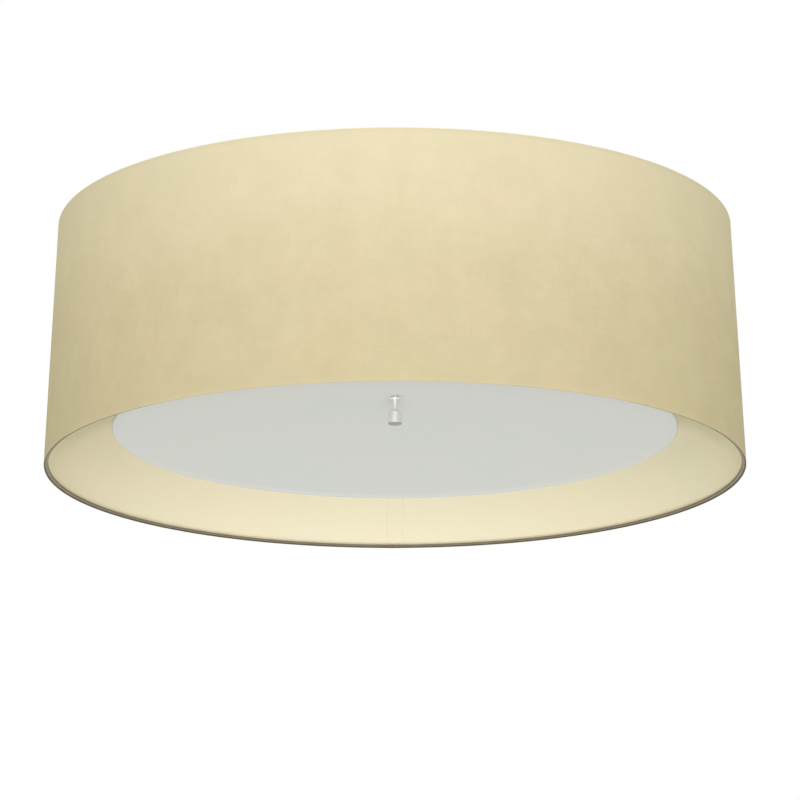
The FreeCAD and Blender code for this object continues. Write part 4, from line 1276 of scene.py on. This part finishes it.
def bracket_mesh():
    """Sheet steel angle with a rounded bend: one leg under the pan, one down the cup's back."""
    thick, bend, end = 1.2 * MM, HOLDER_BACK - 1.2 * MM, HOLDER_BACK + 26 * MM
    low = LAMP_LEVEL - 14 * MM
    corners = [
        (bend, low, 0.2 * MM),
        (HOLDER_BACK, low, 0.2 * MM),
        (HOLDER_BACK, PAN_UNDER - thick, 0.8 * MM),
        (end, PAN_UNDER - thick, 0.2 * MM),
        (end, PAN_UNDER, 0.2 * MM),
        (bend, PAN_UNDER, 1.6 * MM),
    ]
    outline = rounded(corners, closed=True)
    work = bmesh.new()
    rings = []
    for across in (-13 * MM, 13 * MM):
        rings.append([work.verts.new((x, across, z)) for x, z in outline])
    count = len(outline)
    for index in range(count):
        following = (index + 1) % count
        work.faces.new((rings[0][index], rings[0][following], rings[1][following], rings[1][index]))
    for ring in rings:
        work.faces.new(ring)
    bmesh.ops.recalc_face_normals(work, faces=work.faces)
    mesh = bpy.data.meshes.new("steel_angle")
    work.to_mesh(mesh)
    work.free()
    return tidy_mesh(mesh, 30)


def rivet_mesh(under, over):
    """Shank with a pressed head on both sides of the joint."""
    corners = [
        (0, under - 1.2 * MM, 0),
        (2.4 * MM, under - 1.1 * MM, 1.0 * MM),
        (3 * MM, under - 0.2 * MM, 0.2 * MM),
        (3 * MM, under, 0),
        (1.6 * MM, under, 0),
        (1.6 * MM, over, 0),
        (3 * MM, over, 0),
        (3 * MM, over + 0.2 * MM, 0.2 * MM),
        (2.4 * MM, over + 1.1 * MM, 1.0 * MM),
        (0, over + 1.2 * MM, 0),
    ]
    return lathe_mesh("rivet", rounded(corners), 40, False)


def screw_mesh():
    """Pan-headed screw with a round recess, through the angle into the cup."""
    start = HOLDER_BACK - 1.2 * MM
    corners = [
        (0, start - 0.9 * MM, 0),
        (0.9 * MM, start - 0.9 * MM, 0.1 * MM),
        (1.0 * MM, start - 1.45 * MM, 0.1 * MM),
        (2.3 * MM, start - 1.4 * MM, 0.6 * MM),
        (2.8 * MM, start - 0.5 * MM, 0.3 * MM),
        (2.8 * MM, start, 0),
        (1.5 * MM, start, 0),
        (1.5 * MM, start + 7.0 * MM, 0.3 * MM),
        (0, start + 8 * MM, 0),
    ]
    return lathe_mesh("holder_screw", rounded(corners), 40, False)


def make_lamp_set():
    cup, shell, cap, foot = holder_mesh(), shell_mesh(), cap_mesh(), foot_mesh()
    housing, dome, angle = housing_mesh(), dome_mesh(), bracket_mesh()
    for mesh, material in ((cup, glaze), (housing, housing_white), (dome, opal), (angle, zinc)):
        mesh.materials.append(material)
    for mesh, materials in (
        (shell, (brass, brass)),
        (cap, (cap_nickel, cap_nickel, cap_nickel)),
        (foot, (insulator, cap_nickel)),
    ):
        for material in materials:
            mesh.materials.append(material)
    for index in LAMPS:
        for name, node, mesh in (
            ("porcelain_cup", "lampholder", cup),
            ("brass_shell", "screw_shell", shell),
            ("screw_cap", "bulb_cap", cap),
            ("lamp_foot", "bulb_foot", foot),
            ("lamp_housing", "bulb_housing", housing),
            ("opal_dome", "bulb_dome", dome),
        ):
            piece = new_object(f"{name}_{index}", mesh)
            piece.matrix_world = lamp_place(index)
            settle(piece, f"{node}_{index}")
        piece = new_object(f"steel_angle_{index}", angle)
        piece.matrix_world = turned_place(index)
        settle(piece, f"holder_bracket_{index}")
        dress(f"centre_contact_{index}", brass)
        dress(f"spider_arm_{index}", coated_wire)


def make_fasteners():
    rivets, screws = [], []
    rivet = rivet_mesh(PAN_UNDER - 1.2 * MM, PAN_UNDER + 0.9 * MM)
    screw = screw_mesh()
    for index in LAMPS:
        for side in (-1, 1):
            copy = rivet.copy()
            at = Matrix.Translation((HOLDER_BACK + 13 * MM, side * 7 * MM, 0))
            copy.transform(turned_place(index) @ at)
            rivets.append(copy)
            copy = screw.copy()
            copy.transform(lamp_place(index) @ Matrix.Translation((0, side * 10 * MM, 0)))
            screws.append(copy)
    for name, meshes, node in (
        ("rivet_set", rivets, "bracket_rivets"),
        ("holder_screw_set", screws, "holder_screws"),
    ):
        settle(new_object(name, joined_mesh(name, meshes), *[zinc] * 6), node)


make_lamp_set()
make_fasteners()

# ---------------------------------------------------------------- floor, world and lights

AMBIENT = (0.685, 0.695, 0.615)
KEY_STRENGTH = 0.72
KEY_COLOUR = (1.0, 0.97, 1.10)
KEY_RISE = math.radians(14.6)
KEY_SIZE = math.radians(2.3)
FLOOR_LEVEL = -1.75
FLOOR_RADIUS = 5.0            # the low key light passes beyond its edge


def seen_directly(tree):
    """1 for what the camera sees, also in reflections and through clear pieces."""
    path = add_node(tree, "ShaderNodeLightPath")
    seen = maths(tree, "MAXIMUM", path.outputs["Is Camera Ray"], path.outputs["Is Glossy Ray"])
    return maths(tree, "MAXIMUM", seen, path.outputs["Is Transmission Ray"])


def make_world():
    world = bpy.data.worlds.new("studio")
    world.use_nodes = True
    tree = world.node_tree
    tree.nodes.clear()
    plain = add_node(tree, "ShaderNodeBackground", {"Color": (*AMBIENT, 1), "Strength": 1.0})
    white = add_node(tree, "ShaderNodeBackground", {"Color": (1, 1, 1, 1), "Strength": 1.0})
    either = add_node(
        tree,
        "ShaderNodeMixShader",
        links={0: seen_directly(tree), 1: plain.outputs[0], 2: white.outputs[0]},
    )
    add_node(tree, "ShaderNodeOutputWorld", links={"Surface": either.outputs[0]})
    bpy.context.scene.world = world


def make_floor():
    """A pale floor that keeps the shadow, and lets light and views through from below."""
    bpy.ops.mesh.primitive_circle_add(
        vertices=96, radius=FLOOR_RADIUS, fill_type="NGON", location=(0, 0, FLOOR_LEVEL)
    )
    floor = bpy.context.object
    floor.name = "floor"
    material = bpy.data.materials.new("pale_floor")
    material.use_nodes = True
    tree = material.node_tree
    tree.nodes.clear()
    paint = add_node(tree, "ShaderNodeBsdfDiffuse", {"Color": (0.88, 0.88, 0.86, 1)})
    glow = add_node(
        tree,
        "ShaderNodeEmission",
        {"Color": (0.40, 0.39, 0.46, 1)},
        {"Strength": seen_directly(tree)},
    )
    lit = add_node(tree, "ShaderNodeAddShader", links={0: paint.outputs[0], 1: glow.outputs[0]})
    open_side = add_node(tree, "ShaderNodeBsdfTransparent")
    facing = add_node(tree, "ShaderNodeNewGeometry")
    both = add_node(
        tree,
        "ShaderNodeMixShader",
        links={0: facing.outputs["Backfacing"], 1: lit.outputs[0], 2: open_side.outputs[0]},
    )
    add_node(tree, "ShaderNodeOutputMaterial", links={"Surface": both.outputs[0]})
    floor.data.materials.append(material)


def add_light(name, kind, energy, colour, place, target, **settings):
    data = bpy.data.lights.new(name, kind)
    data.energy = energy
    data.color = colour
    for setting, value in settings.items():
        setattr(data, setting, value)
    light = bpy.data.objects.new(name, data)
    light.visible_camera = False
    bpy.context.scene.collection.objects.link(light)
    aim = Vector(target) - Vector(place)
    light.matrix_world = Matrix.Translation(place) @ aim.to_track_quat("-Z", "Y").to_matrix().to_4x4()
    return light


def make_lights():
    """A low key in front, a soft fill from below and a wide light near the top of the front."""
    away = Vector((0, -math.cos(KEY_RISE), -math.sin(KEY_RISE)))
    add_light("key", "SUN", KEY_STRENGTH, KEY_COLOUR, away * 3, (0, 0, 0), angle=KEY_SIZE)
    add_light(
        "fill", "AREA", 9.0, (1.0, 1.0, 1.12), (0, -1.25, -1.25), (0, 0, -0.15),
        shape="DISK", size=1.2
    )
    add_light(
        "near_top", "AREA", 0.3, (1.0, 1.0, 1.3), (0, -0.45, 0.16), (0, -0.20, -0.02),
        shape="RECTANGLE", size=1.1, size_y=0.10
    )


make_world()
make_floor()
make_lights()
bpy.context.scene.view_settings.view_transform = "Standard"
